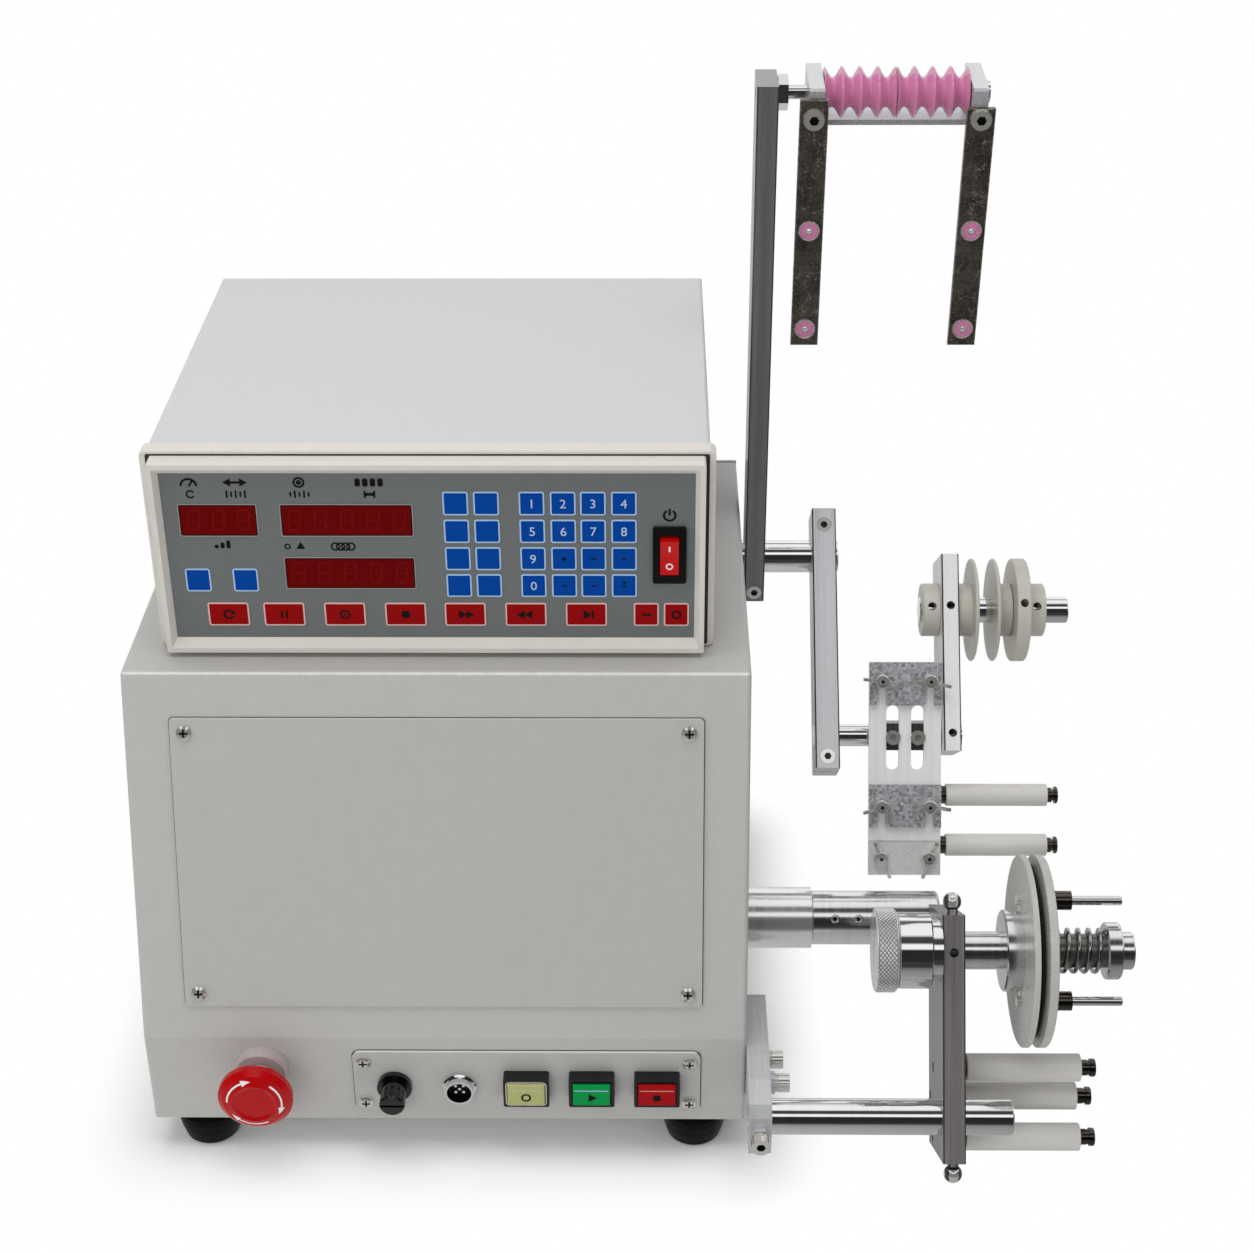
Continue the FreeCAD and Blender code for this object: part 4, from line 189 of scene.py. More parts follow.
def makeDrawnLines():  # fine parallel lines; the place comes in stretched along them
    bench, given, out = newGroup("drawn lines", {"Place": None, "Fineness": 2000.0}, ["Height", "Tone"])
    fine = bench.noise(given["Place"], given["Fineness"], 3, 0.7)
    broad = bench.noise(given["Place"], bench.math("MULTIPLY", given["Fineness"], 0.16), 2, 0.6)
    bench.feed(out, "Height", fine)
    bench.feed(out, "Tone", bench.mixed(fine, broad, 0.55))
    return bench.tree


def makeSpangle():  # the flakes and thin white scratches of rubbed zinc
    bench, given, out = newGroup("spangle", {"Place": None, "Size": 0.003}, ["Tone", "Streak"])
    scale = bench.math("DIVIDE", 1.0, given["Size"])
    drift = bench.add("ShaderNodeTexNoise", {"Vector": given["Place"], "Scale": scale, "Detail": 2.0})
    bent = {0: 0.0012, 4: given["Place"], 5: drift.outputs["Color"]}
    shifted = bench.add("ShaderNodeMix", bent, data_type="VECTOR").outputs[1]
    flakes = bench.add("ShaderNodeTexVoronoi", {"Vector": shifted, "Scale": scale})
    tint = bench.add("ShaderNodeRGBToBW", {0: flakes.outputs["Color"]}).outputs[0]
    small = bench.noise(given["Place"], bench.math("MULTIPLY", scale, 3.0), 4, 0.75)
    bench.feed(out, "Tone", bench.mixed(tint, small, 0.5))
    winding = bench.noise(given["Place"], bench.math("MULTIPLY", scale, 0.35), 4, 0.6)
    line = bench.span(bench.math("ABSOLUTE", bench.math("SUBTRACT", winding, 0.5)), 0.014, 0.004)
    chosen = bench.span(bench.noise(given["Place"], bench.math("MULTIPLY", scale, 0.6), 2, 0.5), 0.48, 0.54)
    bench.feed(out, "Streak", bench.math("MULTIPLY", line, chosen, clamp=True))
    return bench.tree


def makeScuffs():  # thin scratches and small rubbed spots
    bench, given, out = newGroup("scuffs", {"Place": None, "Size": 0.01, "Amount": 0.5}, ["Mask"])
    scale = bench.math("DIVIDE", 1.0, given["Size"])
    bent = bench.noise(given["Place"], scale, 3, 0.6)
    line = bench.math("ABSOLUTE", bench.math("SUBTRACT", bent, 0.5))
    thin = bench.span(line, 0.012, 0.0)
    spots = bench.noise(given["Place"], bench.math("MULTIPLY", scale, 6.0), 3, 0.7)
    chosen = bench.noise(given["Place"], bench.math("MULTIPLY", scale, 0.7), 1, 0.5)
    scratches = bench.math("MULTIPLY", thin, bench.span(chosen, 0.5, 0.6))
    both = bench.math("MAXIMUM", scratches, bench.span(spots, 0.64, 0.7))
    bench.feed(out, "Mask", bench.math("MULTIPLY", both, given["Amount"], clamp=True))
    return bench.tree


fineGrain = makeFineGrain()
edgeWearAndHighlight = makeEdgeWearAndHighlight()
drawnLines = makeDrawnLines()
spangle = makeSpangle()
scuffs = makeScuffs()


# Finishes
def startFinish(name):
    material = bpy.data.materials.new(name)
    material.use_nodes = True
    bench = Bench(material.node_tree)
    shader = material.node_tree.nodes["Principled BSDF"]
    place = bench.add("ShaderNodeTexCoord").outputs["Object"]
    return material, bench, shader, place


def scaled(color, factor):  # lighter or darker
    return tuple(min(1, channel * factor) for channel in color[:3]) + (1,)


def toned(bench, color, amount, tone):  # lighter and darker by amount, as tone runs about one half
    return bench.blend(bench.span(tone, 0.3, 0.7), scaled(color, 1 - amount), scaled(color, 1 + amount))


def bumped(bench, shader, height, strength, distance):
    values = {"Strength": strength, "Distance": distance, "Height": height}
    bench.feed(shader, "Normal", bench.add("ShaderNodeBump", values).outputs[0])


# Coordinates turned about X by lean degrees, and stretched along the axes
def stretched(bench, place, scale, lean=0.0):
    turned = bench.add("ShaderNodeMapping", {"Vector": place, "Rotation": (math.radians(lean), 0, 0)})
    return bench.add("ShaderNodeMapping", {"Vector": turned.outputs[0], "Scale": scale}).outputs[0]


def paintFinish(name, color, grain, bump, rough, tone=0.03, wearAndHighlight=0.25):
    material, bench, shader, place = startFinish(name)
    skin = bench.group(fineGrain, {"Place": place, "Size": grain})
    edges = bench.group(edgeWearAndHighlight, {"Place": place, "Radius": 0.0012, "Size": 0.006})
    base = toned(bench, color, tone, skin.outputs["Tone"])
    # The edges are lightened, partly as wear and partly as a painted highlight
    rubbed = bench.math("MULTIPLY", edges.outputs["Mask"], wearAndHighlight)
    bench.feed(shader, "Base Color", bench.blend(rubbed, base, scaled(color, 1.35)))
    bench.feed(shader, "Roughness", bench.span(skin.outputs["Tone"], 0.3, 0.7, rough - 0.05, rough + 0.07))
    bumped(bench, shader, skin.outputs["Height"], bump, 0.0002)
    return material


def plasticFinish(name, color, rough, grain=0.0012, bump=0.15, tone=0.04, coat=0.0, soft=0.0, shine=0.5):
    material, bench, shader, place = startFinish(name)
    skin = bench.group(fineGrain, {"Place": place, "Size": grain})
    marks = bench.group(scuffs, {"Place": place, "Size": 0.012, "Amount": 0.35})
    bench.feed(shader, "Base Color", toned(bench, color, tone, skin.outputs["Tone"]))
    even = bench.span(skin.outputs["Tone"], 0.3, 0.7, rough - 0.03, rough + 0.05)
    marked = bench.math("MULTIPLY", marks.outputs["Mask"], 0.12)
    bench.feed(shader, "Roughness", bench.math("ADD", even, marked))
    bumped(bench, shader, skin.outputs["Height"], bump, 0.0001)
    settings = {"Specular IOR Level": shine, "Coat Weight": coat, "Coat Roughness": 0.06,
                "Subsurface Weight": soft, "Subsurface Radius": (1, 0.9, 0.8), "Subsurface Scale": 0.002}
    for label, value in settings.items():
        bench.feed(shader, label, value)
    return material


def metalFinish(name, color, rough, lines=(1, 1, 1), lean=0.0, fineness=2000.0, tone=0.12, bump=0.1,
                marks=0.1, metal=1.0):
    material, bench, shader, place = startFinish(name)
    along = stretched(bench, place, lines, lean)
    drawn = bench.group(drawnLines, {"Place": along, "Fineness": fineness})
    rubbed = bench.group(scuffs, {"Place": place, "Size": 0.009, "Amount": marks})
    base = toned(bench, color, tone, drawn.outputs["Tone"])
    rubbing = bench.math("MULTIPLY", rubbed.outputs["Mask"], 0.5)
    bench.feed(shader, "Base Color", bench.blend(rubbing, base, scaled(color, 1.3)))
    even = bench.span(drawn.outputs["Tone"], 0.3, 0.7, rough - rough * 0.25, rough + rough * 0.35)
    marked = bench.math("MULTIPLY", rubbed.outputs["Mask"], 0.1)
    bench.feed(shader, "Roughness", bench.math("ADD", even, marked))
    bumped(bench, shader, drawn.outputs["Height"], bump, 0.00005)
    shader.inputs["Metallic"].default_value = metal
    return material


def zincFinish(name, color, flake, rough, uneven=0.3, streak=0.85):
    material, bench, shader, place = startFinish(name)
    flakes = bench.group(spangle, {"Place": place, "Size": flake})
    base = toned(bench, color, uneven, flakes.outputs["Tone"])
    streaks = bench.math("MULTIPLY", flakes.outputs["Streak"], streak)
    bench.feed(shader, "Base Color", bench.blend(streaks, base, shade(232, 232, 235)))
    bench.feed(shader, "Roughness", bench.span(flakes.outputs["Tone"], 0.2, 0.8, rough - 0.1, rough + 0.15))
    bumped(bench, shader, flakes.outputs["Tone"], 0.3, 0.0002)
    shader.inputs["Metallic"].default_value = 0.3
    return material


def platedFinish(name, color, rough):  # old dark nickel: mottled, and rubbed bright along its edges
    material, bench, shader, place = startFinish(name)
    skin = bench.group(fineGrain, {"Place": place, "Size": 0.0016})
    rubbed = bench.group(scuffs, {"Place": place, "Size": 0.007, "Amount": 0.9})
    edges = bench.group(edgeWearAndHighlight, {"Place": place, "Radius": 0.0012, "Size": 0.0025})
    base = toned(bench, color, 0.65, skin.outputs["Tone"])
    rubbing = bench.math("MULTIPLY", rubbed.outputs["Mask"], 0.55)
    worn = bench.math("MAXIMUM", rubbing, edges.outputs["Mask"])
    bench.feed(shader, "Base Color", bench.blend(worn, base, shade(220, 213, 200)))
    bench.feed(shader, "Roughness", bench.span(skin.outputs["Tone"], 0.3, 0.7, rough - 0.08, rough + 0.15))
    bumped(bench, shader, skin.outputs["Height"], 0.35, 0.0002)
    shader.inputs["Metallic"].default_value = 0.4
    return material


turned = (1, 0.02, 0.02)  # lines round a part that is turned about X
drawn = (1, 1, 0.012)  # lines along a bar that stands upright
metals = {  # colour, roughness, and what else metalFinish takes
    "brightSteel": ((240, 240, 241), 0.07,
                    dict(lines=turned, fineness=1500, tone=0.03, bump=0.02, marks=0.02)),
    "turnedAluminium": ((232, 232, 233), 0.15,
                        dict(lines=turned, fineness=2600, tone=0.07, marks=0.02)),
    "sleeveAluminium": ((246, 246, 246), 0.18,
                        dict(lines=turned, fineness=2600, tone=0.03, bump=0.03, marks=0.02, metal=0.8)),
    "screwSteel": ((230, 228, 223), 0.1, dict(fineness=900, tone=0.02, bump=0.03, marks=0.02, metal=0.72)),
    "knurlSteel": ((238, 238, 239), 0.2, dict(fineness=1500, tone=0.02, bump=0.02, marks=0.02, metal=0.5)),
    "longArmBar": ((146, 147, 150), 0.26,
                   dict(lines=drawn, fineness=1400, tone=0.2, marks=0.03, metal=0.6)),
    "middleArmBar": ((212, 213, 216), 0.28,
                     dict(lines=drawn, lean=43, fineness=1400, tone=0.12, marks=0.03, metal=0.3)),
    "tensionArmBar": ((132, 128, 128), 0.24,
                      dict(lines=drawn, lean=32, fineness=1100, tone=0.4, marks=0.05, metal=0.3)),
    "guideArmBar": ((242, 240, 241), 0.3,
                    dict(lines=drawn, lean=37.5, fineness=1400, tone=0.08, marks=0.02, metal=0.12)),
    "forkAluminium": ((214, 216, 219), 0.26,
                      dict(fineness=1500, tone=0.02, bump=0.02, marks=0.01, metal=0.5)),
    "bracketAluminium": ((206, 208, 210), 0.22,
                         dict(lines=(1, 0.02, 0.02), fineness=1500, tone=0.12, marks=0.02, metal=0.4)),
    "plateAluminium": ((252, 250, 251), 0.34,
                       dict(lines=(1, 1, 0.03), lean=28, fineness=1600, tone=0.1, marks=0.08, metal=0.08)),
    "darkSteel": ((112, 109, 105), 0.26, dict(fineness=700, tone=0.2, metal=0.7)),
    "blackedSteel": ((90, 86, 82), 0.16, dict(lines=turned, fineness=900, tone=0.2)),
    "springSteel": ((176, 176, 178), 0.1, dict(fineness=900, tone=0.04, marks=0.0)),
    "paleMetal": ((226, 222, 216), 0.26, dict(fineness=1200, tone=0.05, metal=0.5)),
    # A dark metal, painted as shade on the arms' sloping side faces and in the knob's grooves
    "edgeMetalShade": ((84, 84, 86), 0.22, dict(fineness=1200, tone=0.1, metal=0.6)),
}
plastics = {  # colour, roughness, and what else plasticFinish takes
    "bezelPlastic": ((224, 220, 213), 0.34, dict(bump=0.08)),
    "panelFilm": ((114, 118, 117), 0.55, dict(grain=0.0006, bump=0.1, tone=0.03, shine=0.15)),
    "switchBlack": ((14, 14, 15), 0.2, dict(bump=0.06)),
    "signalRed": ((184, 3, 8), 0.16, dict(bump=0.02, coat=0.15, shine=0.3)),
    "rockerRed": ((206, 8, 10), 0.22, dict(bump=0.02, coat=0.2, shine=0.3)),
    "keyBlue": ((0, 69, 161), 0.5, dict(grain=0.0006, bump=0.06, shine=0.05)),
    "keyRed": ((152, 9, 12), 0.5, dict(grain=0.0006, bump=0.06, shine=0.05)),
    "keyLineBlue": ((176, 206, 238), 0.45, dict(grain=0.0006, bump=0.04, shine=0.2)),
    "keyLineRed": ((226, 190, 188), 0.45, dict(grain=0.0006, bump=0.04, shine=0.2)),
    # A painted highlight on each window's raised lip, then painted shade just inside it
    "windowLipHighlight": ((150, 152, 151), 0.45, dict(grain=0.0006, bump=0.04, shine=0.2)),
    "windowInnerShade": ((26, 0, 2), 0.3, dict(bump=0.02, shine=0.2)),
    "displayRed": ((106, 2, 4), 0.4, dict(bump=0.02, shine=0.05)),
    "segmentRed": ((122, 6, 8), 0.4, dict(bump=0.02, shine=0.05)),
    "printWhite": ((238, 240, 242), 0.5, dict(bump=0.04, shine=0.2)),
    "printPale": ((186, 208, 236), 0.5, dict(bump=0.04, shine=0.2)),
    "printDark": ((24, 24, 26), 0.6, dict(bump=0.04, shine=0.1)),
    "lampCream": ((184, 186, 124), 0.3, dict(bump=0.04, shine=0.15)),
    "lampGreen": ((2, 154, 76), 0.3, dict(bump=0.04, shine=0.1)),
    # The painted highlight line on the red cap
    "lampRed": ((170, 8, 14), 0.3, dict(bump=0.04, shine=0.1)),
    "capHighlightRed": ((236, 150, 150), 0.3, dict(bump=0.02)),
    "collarPlastic": ((184, 172, 173), 0.24, dict(bump=0.06, coat=0.3)),
    "blackRubber": ((8, 8, 9), 0.5, dict(grain=0.0008, bump=0.2, shine=0.12)),
    "bakelite": ((8, 8, 9), 0.1, dict(bump=0.03, coat=0.3)),
    "pinkCeramic": ((212, 132, 173), 0.1, dict(grain=0.002, bump=0.01, tone=0.01, coat=0.8, soft=0.15)),
    "nylon": ((222, 220, 216), 0.34, dict(bump=0.04, tone=0.02, soft=0.3)),
    "beigePlastic": ((202, 199, 189), 0.3, dict(bump=0.02, tone=0.01)),
    "wheelPlastic": ((192, 191, 186), 0.26, dict(bump=0.02, tone=0.01)),
    "beltRubber": ((30, 30, 30), 0.6, dict(grain=0.0009, bump=0.3)),
    "blackFelt": ((24, 23, 22), 0.9, dict(grain=0.0007, bump=0.7)),
    "blackInsertAndPocketShade": ((14, 14, 15), 0.3, dict(bump=0.1)),
    # Painted shadow for the thin sheets round the plates on the case
    "seamShade": ((96, 95, 92), 0.6, dict(bump=0.1, shine=0.1)),
    # Painted shade for the dark sheet in the gap round the front frame
    "gapShade": ((58, 56, 53), 0.6, dict(bump=0.1, shine=0.1)),
}
finishes = {
    "casePaint": paintFinish("casePaint", shade(194, 193, 190), 0.0009, 0.35, 0.42),
    "boxPaint": paintFinish("boxPaint", shade(212, 213, 213), 0.0007, 0.18, 0.4, tone=0.015),
    "plateInk": paintFinish("plateInk", shade(190, 189, 186), 0.0009, 0.3, 0.42),
    # A lighter paint, a painted highlight on the plates' upward faces
    "plateTopHighlight": paintFinish("plateTopHighlight", shade(238, 237, 233), 0.0009, 0.1, 0.4),
    # A lighter paint, a painted highlight on the case's upper bend
    "bendHighlight": paintFinish("bendHighlight", shade(226, 226, 223), 0.0009, 0.35, 0.4, tone=0.12),
    # A darker paint, painted shade on the plates' sides and lower faces
    "plateSideShade": paintFinish("plateSideShade", shade(140, 139, 136), 0.0009, 0.1, 0.4, wearAndHighlight=0),
    "motorPaint": paintFinish("motorPaint", shade(52, 52, 54), 0.0012, 0.3, 0.45),
    "zincPlate": zincFinish("zincPlate", shade(182, 183, 187), 0.0015, 0.3, uneven=0.4),
    "clampZinc": zincFinish("clampZinc", shade(236, 235, 235), 0.0018, 0.34, uneven=0.05, streak=0.3),
    "darkNickel": platedFinish("darkNickel", shade(80, 74, 67), 0.26),
}
for finishName, (color, rough, more) in metals.items():
    finishes[finishName] = metalFinish(finishName, shade(*color), rough, **more)
for finishName, (color, rough, more) in plastics.items():
    finishes[finishName] = plasticFinish(finishName, shade(*color), rough, **more)
print("finishes made:", len(finishes))


# The nodes of each finish
finishNodes = {
    "casePaint": ["case_shell", "base_plate"],
    "plateInk": ["front_plate", "instrument_plate"],
    "screwSteel": ["panel_screws", "wing_bolts"],
    "blackRubber": ["rubber_feet"],
    "bakelite": ["fuse_holder", "fuse_cap"],
    "brightSteel": ["pedal_socket", "upper_shaft", "middle_shaft", "lower_shaft", "brake_drum"],
    "switchBlack": ["button_housings"],
    "lampCream": ["mode_button"],
    "lampGreen": ["start_button"],
    "lampRed": ["stop_button"],
    "collarPlastic": ["estop_base", "estop_stem"],
    "signalRed": ["estop_head"],
    "boxPaint": ["controller_cover", "controller_tray"],
    "bezelPlastic": ["controller_bezel"],
    "rockerRed": ["power_rocker"],
    "motorPaint": ["drive_motor"],
    "darkSteel": ["motor_pulley"],
    "beltRubber": ["drive_belt"],
    "zincPlate": ["power_supply"],
    "forkAluminium": ["guide_fork", "roller_block"],
    "pinkCeramic": ["ceramic_roller_left", "ceramic_roller_right"],
    "plateAluminium": ["slotted_plate"],
    "guideArmBar": ["guide_arm"],
    "beigePlastic": ["guide_flange_left", "guide_flange_right"],
    "turnedAluminium": ["brake_knob", "tension_shaft"],
    "springSteel": ["tension_spring"],
}


# The faces of each loose solid of a node, with the middle and the size of its box
def looseSolids(node):
    shape = bmesh.new()
    shape.from_mesh(node.data)
    shape.faces.ensure_lookup_table()
    owner = {}
    for face in shape.faces:
        for corner in face.verts:
            owner.setdefault(tuple(round(value, 6) for value in corner.co), []).append(face.index)
    parts = []
    left = set(range(len(shape.faces)))
    while left:
        waiting = [left.pop()]
        found = set(waiting)
        while waiting:
            for corner in shape.faces[waiting.pop()].verts:
                for other in owner[tuple(round(value, 6) for value in corner.co)]:
                    if other in left:
                        left.discard(other)
                        found.add(other)
                        waiting.append(other)
        corners = [corner.co for index in found for corner in shape.faces[index].verts]
        low = Vector([min(corner[axis] for corner in corners) for axis in range(3)])
        high = Vector([max(corner[axis] for corner in corners) for axis in range(3)])
        parts.append((found, (low + high) / 2, high - low))
    shape.free()
    return parts


def setFinish(node, names):
    node.data.materials.clear()
    for name in names:
        node.data.materials.append(finishes[name])


# Gives each loose solid of a node the finish that choose picks from its middle and size
def finishSolids(nodeName, names, choose):
    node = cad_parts[nodeName]
    setFinish(node, names)
    for faces, middle, size in looseSolids(node):
        slot = names.index(choose(middle, size))
        for index in faces:
            node.data.polygons[index].material_index = slot


# The larger solids of a node have the first finish and its smaller ones the second, told apart by one side
def finishBySize(nodeName, large, small, axis, limit):
    finishSolids(nodeName, [large, small], lambda middle, size: large if size[axis] > limit * mm else small)


for finishName, nodeNames in finishNodes.items():
    for nodeName in nodeNames:
        setFinish(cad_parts[nodeName], [finishName])
sizedNodes = [  # node, finish of the larger, of the smaller, side, limit in mm
    ("rear_cover", "casePaint", "bakelite", 0, 200),
    ("control_panel", "panelFilm", "switchBlack", 0, 30),
    ("spindle_sleeve", "sleeveAluminium", "darkSteel", 0, 50),
    ("winding_spindle", "turnedAluminium", "darkSteel", 0, 50),
    ("long_arm", "longArmBar", "screwSteel", 2, 100),
    ("middle_arm", "middleArmBar", "screwSteel", 2, 100),
    ("tension_arm", "tensionArmBar", "screwSteel", 2, 100),
    ("guide_axle", "brightSteel", "turnedAluminium", 0, 50),
    ("plate_carrier", "darkSteel", "screwSteel", 0, 20),
    ("guide_shaft", "brightSteel", "beigePlastic", 0, 50),
    ("shaft_bracket", "bracketAluminium", "screwSteel", 1, 50),
    ("wheel_hub", "wheelPlastic", "screwSteel", 1, 50),
    ("outer_disc", "wheelPlastic", "blackedSteel", 1, 50),
]
for sized in sizedNodes:
    finishBySize(*sized)
for nodeName in ("plate_roller_upper", "plate_roller_lower", "lower_roller_upper", "lower_roller_back",
                 "lower_roller_low"):
    finishBySize(nodeName, "nylon", "blackedSteel", 1, 11.5)

barParts = {"barLong": 100, "screwLong": 10}  # millimetres: a bar is taller, and a screw's Y is longer
lowClamp = 115  # millimetres; the clamp plate below this height is the pale one


def barFinish(middle, size):
    if size.z > barParts["barLong"] * mm:
        return "darkNickel"
    return "screwSteel" if size.y > barParts["screwLong"] * mm else "pinkCeramic"


finishSolids("hanging_bars", ["darkNickel", "screwSteel", "pinkCeramic"], barFinish)
finishSolids("clamp_plates", ["zincPlate", "clampZinc"],
             lambda middle, size: "clampZinc" if middle.z < lowClamp * mm else "zincPlate")


# Gives the faces that wanted picks from their middle in mm and their normal one finish more
def paintWhere(nodeName, finishName, wanted):
    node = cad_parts[nodeName]
    node.data.materials.append(finishes[finishName])
    for face in node.data.polygons:
        if wanted(face.center / mm, face.normal):
            face.material_index = len(node.data.materials) - 1


# Painted shade on small faces that look at another face of their node from gap to reach mm away, and on the
# floors between them
def paintPocketShade(nodeName, finishName, gap, reach):
    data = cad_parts[nodeName].data
    data.materials.append(finishes[finishName])
    spots = [vertex.co.copy() for vertex in data.vertices]
    small = {}
    for face in data.polygons:
        corners = [spots[index] for index in face.vertices]
        if max((one - other).length for one in corners for other in corners) < 2 * reach * mm:
            small[face.index] = {tuple(round(value, 6) for value in corner) for corner in corners}
    tree = BVHTree.FromPolygons(spots, [list(face.vertices) for face in data.polygons])
    walls = set()
    shadedPocket = []
    for index, corners in small.items():
        face = data.polygons[index]
        place, normal, found, distance = tree.ray_cast(face.center + face.normal * 0.02 * mm, face.normal,
                                                       reach * mm)
        if place and distance > gap * mm and normal.dot(face.normal) < -0.5:
            shadedPocket.append(index)
            walls |= corners
    shadedPocket += [index for index, corners in small.items() if corners <= walls]
    for index in shadedPocket:
        data.polygons[index].material_index = len(data.materials) - 1


# Picks faces within radius mm of the middle line of a node along X, from one x to another
def nearAxis(nodeName, radius, first, last):
    low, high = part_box(nodeName)
    middle = (low + high) / 2 / mm

    def wanted(place, normal):
        return first < place.x < last and math.hypot(place.y - middle.y, place.z - middle.z) < radius
    return wanted


# The foot pedal socket: its middle, its insert and pins, and the bore, whose inside wall is painted dark as
# shade
socket = {"x": 7.0, "z": 47.0, "floor": -150.7, "radius": 6.5, "thick": 2.2, "pinCircle": 3.0, "pin": 1.05,
          "bore": (5.8, 7)}
# Places along X of what the tension wheel's nodes show in another metal, and of the shaft inside the spring,
# which is painted dark as shade, with a radius where one is needed
turnedPlaces = {"hub": (22, 290, 306.6), "pinsFrom": 334, "core": (9.5, 318, 346)}


def insideSocket(place, normal):
    across = Vector((socket["x"] - place.x, 0, socket["z"] - place.z))
    nearest, farthest = socket["bore"]
    return nearest < across.length < farthest and normal.dot(across) > 0


# The plates' upward faces get a painted highlight, and their sides and lower faces painted shade
for nodeName in ("instrument_plate", "front_plate"):
    paintWhere(nodeName, "plateTopHighlight", lambda place, normal: normal.z > 0.5)
    paintWhere(nodeName, "plateSideShade", lambda place, normal: abs(normal.x) > 0.5 or normal.z < -0.5)
# The case's bend, where it faces up and forward, gets a painted highlight
paintWhere("case_shell", "bendHighlight", lambda place, normal: 0.55 < normal.z < 0.9 and normal.y < -0.3)
# The arms' sloping side faces are painted dark as shade
for nodeName in ("middle_arm", "guide_arm", "tension_arm", "long_arm"):
    paintWhere(nodeName, "edgeMetalShade", lambda place, normal: 0.5 < abs(normal.x) < 0.9)
# Recesses that are painted dark as shade
pocketShades = {  # the dark recesses of each node: the smallest gap and the reach
    "panel_screws": (0.4, 2.4), "wing_bolts": (1.0, 2.5), "plate_carrier": (1.2, 3.2),
    "hanging_bars": (1.5, 5.5), "long_arm": (1.5, 5.5), "middle_arm": (1.5, 5.5), "tension_arm": (1.5, 5.5),
    "shaft_bracket": (1.5, 5.5), "guide_shaft": (1.5, 5.5), "guide_arm": (1.5, 9.0),
}
for nodeName, (gap, reach) in pocketShades.items():
    paintPocketShade(nodeName, "blackInsertAndPocketShade", gap, reach)
paintWhere("wheel_hub", "turnedAluminium", nearAxis("wheel_hub", *turnedPlaces["hub"]))
paintWhere("outer_disc", "brightSteel", lambda place, normal: place.x > turnedPlaces["pinsFrom"])
# The shaft inside the spring is painted dark as shade
paintWhere("tension_shaft", "darkSteel", nearAxis("tension_shaft", *turnedPlaces["core"]))
# The socket bore's inside wall is painted dark as shade
paintWhere("pedal_socket", "blackInsertAndPocketShade", insideSocket)
print("finishes set")


# Short ways to model by hand
tools = bpy.context.scene.tool_settings


def inMetres(values):
    return tuple(value * mm for value in values)


def slide(piece, *shift):  # moves the mesh inside its object, in mm
    piece.data.transform(Matrix.Translation(inMetres(shift)))


def swing(piece, degrees, axis):  # turns the mesh about an axis through its object's zero
    piece.data.transform(Matrix.Rotation(math.radians(degrees), 4, axis))


def chooseNone():
    bpy.ops.object.select_all(action="DESELECT")


def chooseOnly(piece):
    chooseNone()
    piece.select_set(True)
    bpy.context.view_layer.objects.active = piece


def named(name):  # the newest object, with its place moved into its mesh
    piece = bpy.context.active_object
    piece.name = name
    piece.data.name = name
    bpy.ops.object.transform_apply(location=True, rotation=True, scale=True)
    return piece


def addBlock(name, middle, size):
    chooseNone()
    bpy.ops.mesh.primitive_cube_add(size=1, location=inMetres(middle), scale=inMetres(size))
    return named(name)


def addDisc(name, middle, radius, depth, sides=48, along="y"):
    chooseNone()
    turn = {"x": (0, math.pi / 2, 0), "y": (math.pi / 2, 0, 0), "z": (0, 0, 0)}[along]
    bpy.ops.mesh.primitive_cylinder_add(vertices=sides, radius=radius * mm, depth=depth * mm,
                                        location=inMetres(middle), rotation=turn)
    return named(name)


def addSheet(name, middle, size, turn=(0, 0, 0)):
    chooseNone()
    bpy.ops.mesh.primitive_plane_add(size=1, location=inMetres(middle), rotation=turn)
    bpy.context.active_object.scale = (size[0] * mm, size[1] * mm, 1)
    return named(name)


def edit(piece):
    chooseOnly(piece)
    bpy.ops.object.mode_set(mode="EDIT")


def done(piece, smooth=30):
    bpy.ops.object.mode_set(mode="OBJECT")
    chooseOnly(piece)
    bpy.ops.object.shade_smooth_by_angle(angle=math.radians(smooth))
    return piece


def pick(piece, kind, wanted):  # kind is verts, edges or faces
    tools.mesh_select_mode = [kind == each for each in ("verts", "edges", "faces")]
    bpy.ops.mesh.select_all(action="DESELECT")
    for part in getattr(bmesh.from_edit_mesh(piece.data), kind):
        if wanted(part):
            part.select_set(True)
    bmesh.update_edit_mesh(piece.data)


def runs(axis):  # picks edges that run along an axis
    def wanted(edge):
        way = (edge.verts[1].co - edge.verts[0].co).normalized()
        return abs(way["xyz".index(axis)]) > 0.99
    return wanted


def looks(*way):  # picks faces that look along a direction
    def wanted(face):
        return face.normal.dot(Vector(way)) > 0.99
    return wanted


def paintPicked(piece, slot):
    for face in bmesh.from_edit_mesh(piece.data).faces:
        if face.select:
            face.material_index = slot
    bmesh.update_edit_mesh(piece.data)


def pickAll():
    bpy.ops.mesh.select_all(action="SELECT")


def outward():
    pickAll()
    bpy.ops.mesh.normals_make_consistent(inside=False)


def weld():  # joins the corners that lie on each other
    pickAll()
    bpy.ops.mesh.remove_doubles(threshold=0.002 * mm)


# Bevels the edges that run along Y, and leaves the piece in edit mode
def roundSides(piece, corner, segments):
    edit(piece)
    pick(piece, "edges", runs("y"))
    bpy.ops.mesh.bevel(offset=corner * mm, segments=segments)


def copyTo(piece, name, shift):
    other = piece.copy()
    other.data = piece.data.copy()
    other.name = name
    other.data.name = name
    bpy.context.scene.collection.objects.link(other)
    slide(other, *shift)
    return other


def remove(piece):
    bpy.data.objects.remove(piece)


def joined(name, parts):
    chooseNone()
    for part in parts:
        part.select_set(True)
    bpy.context.view_layer.objects.active = parts[0]
    bpy.ops.object.join()
    return named(name)


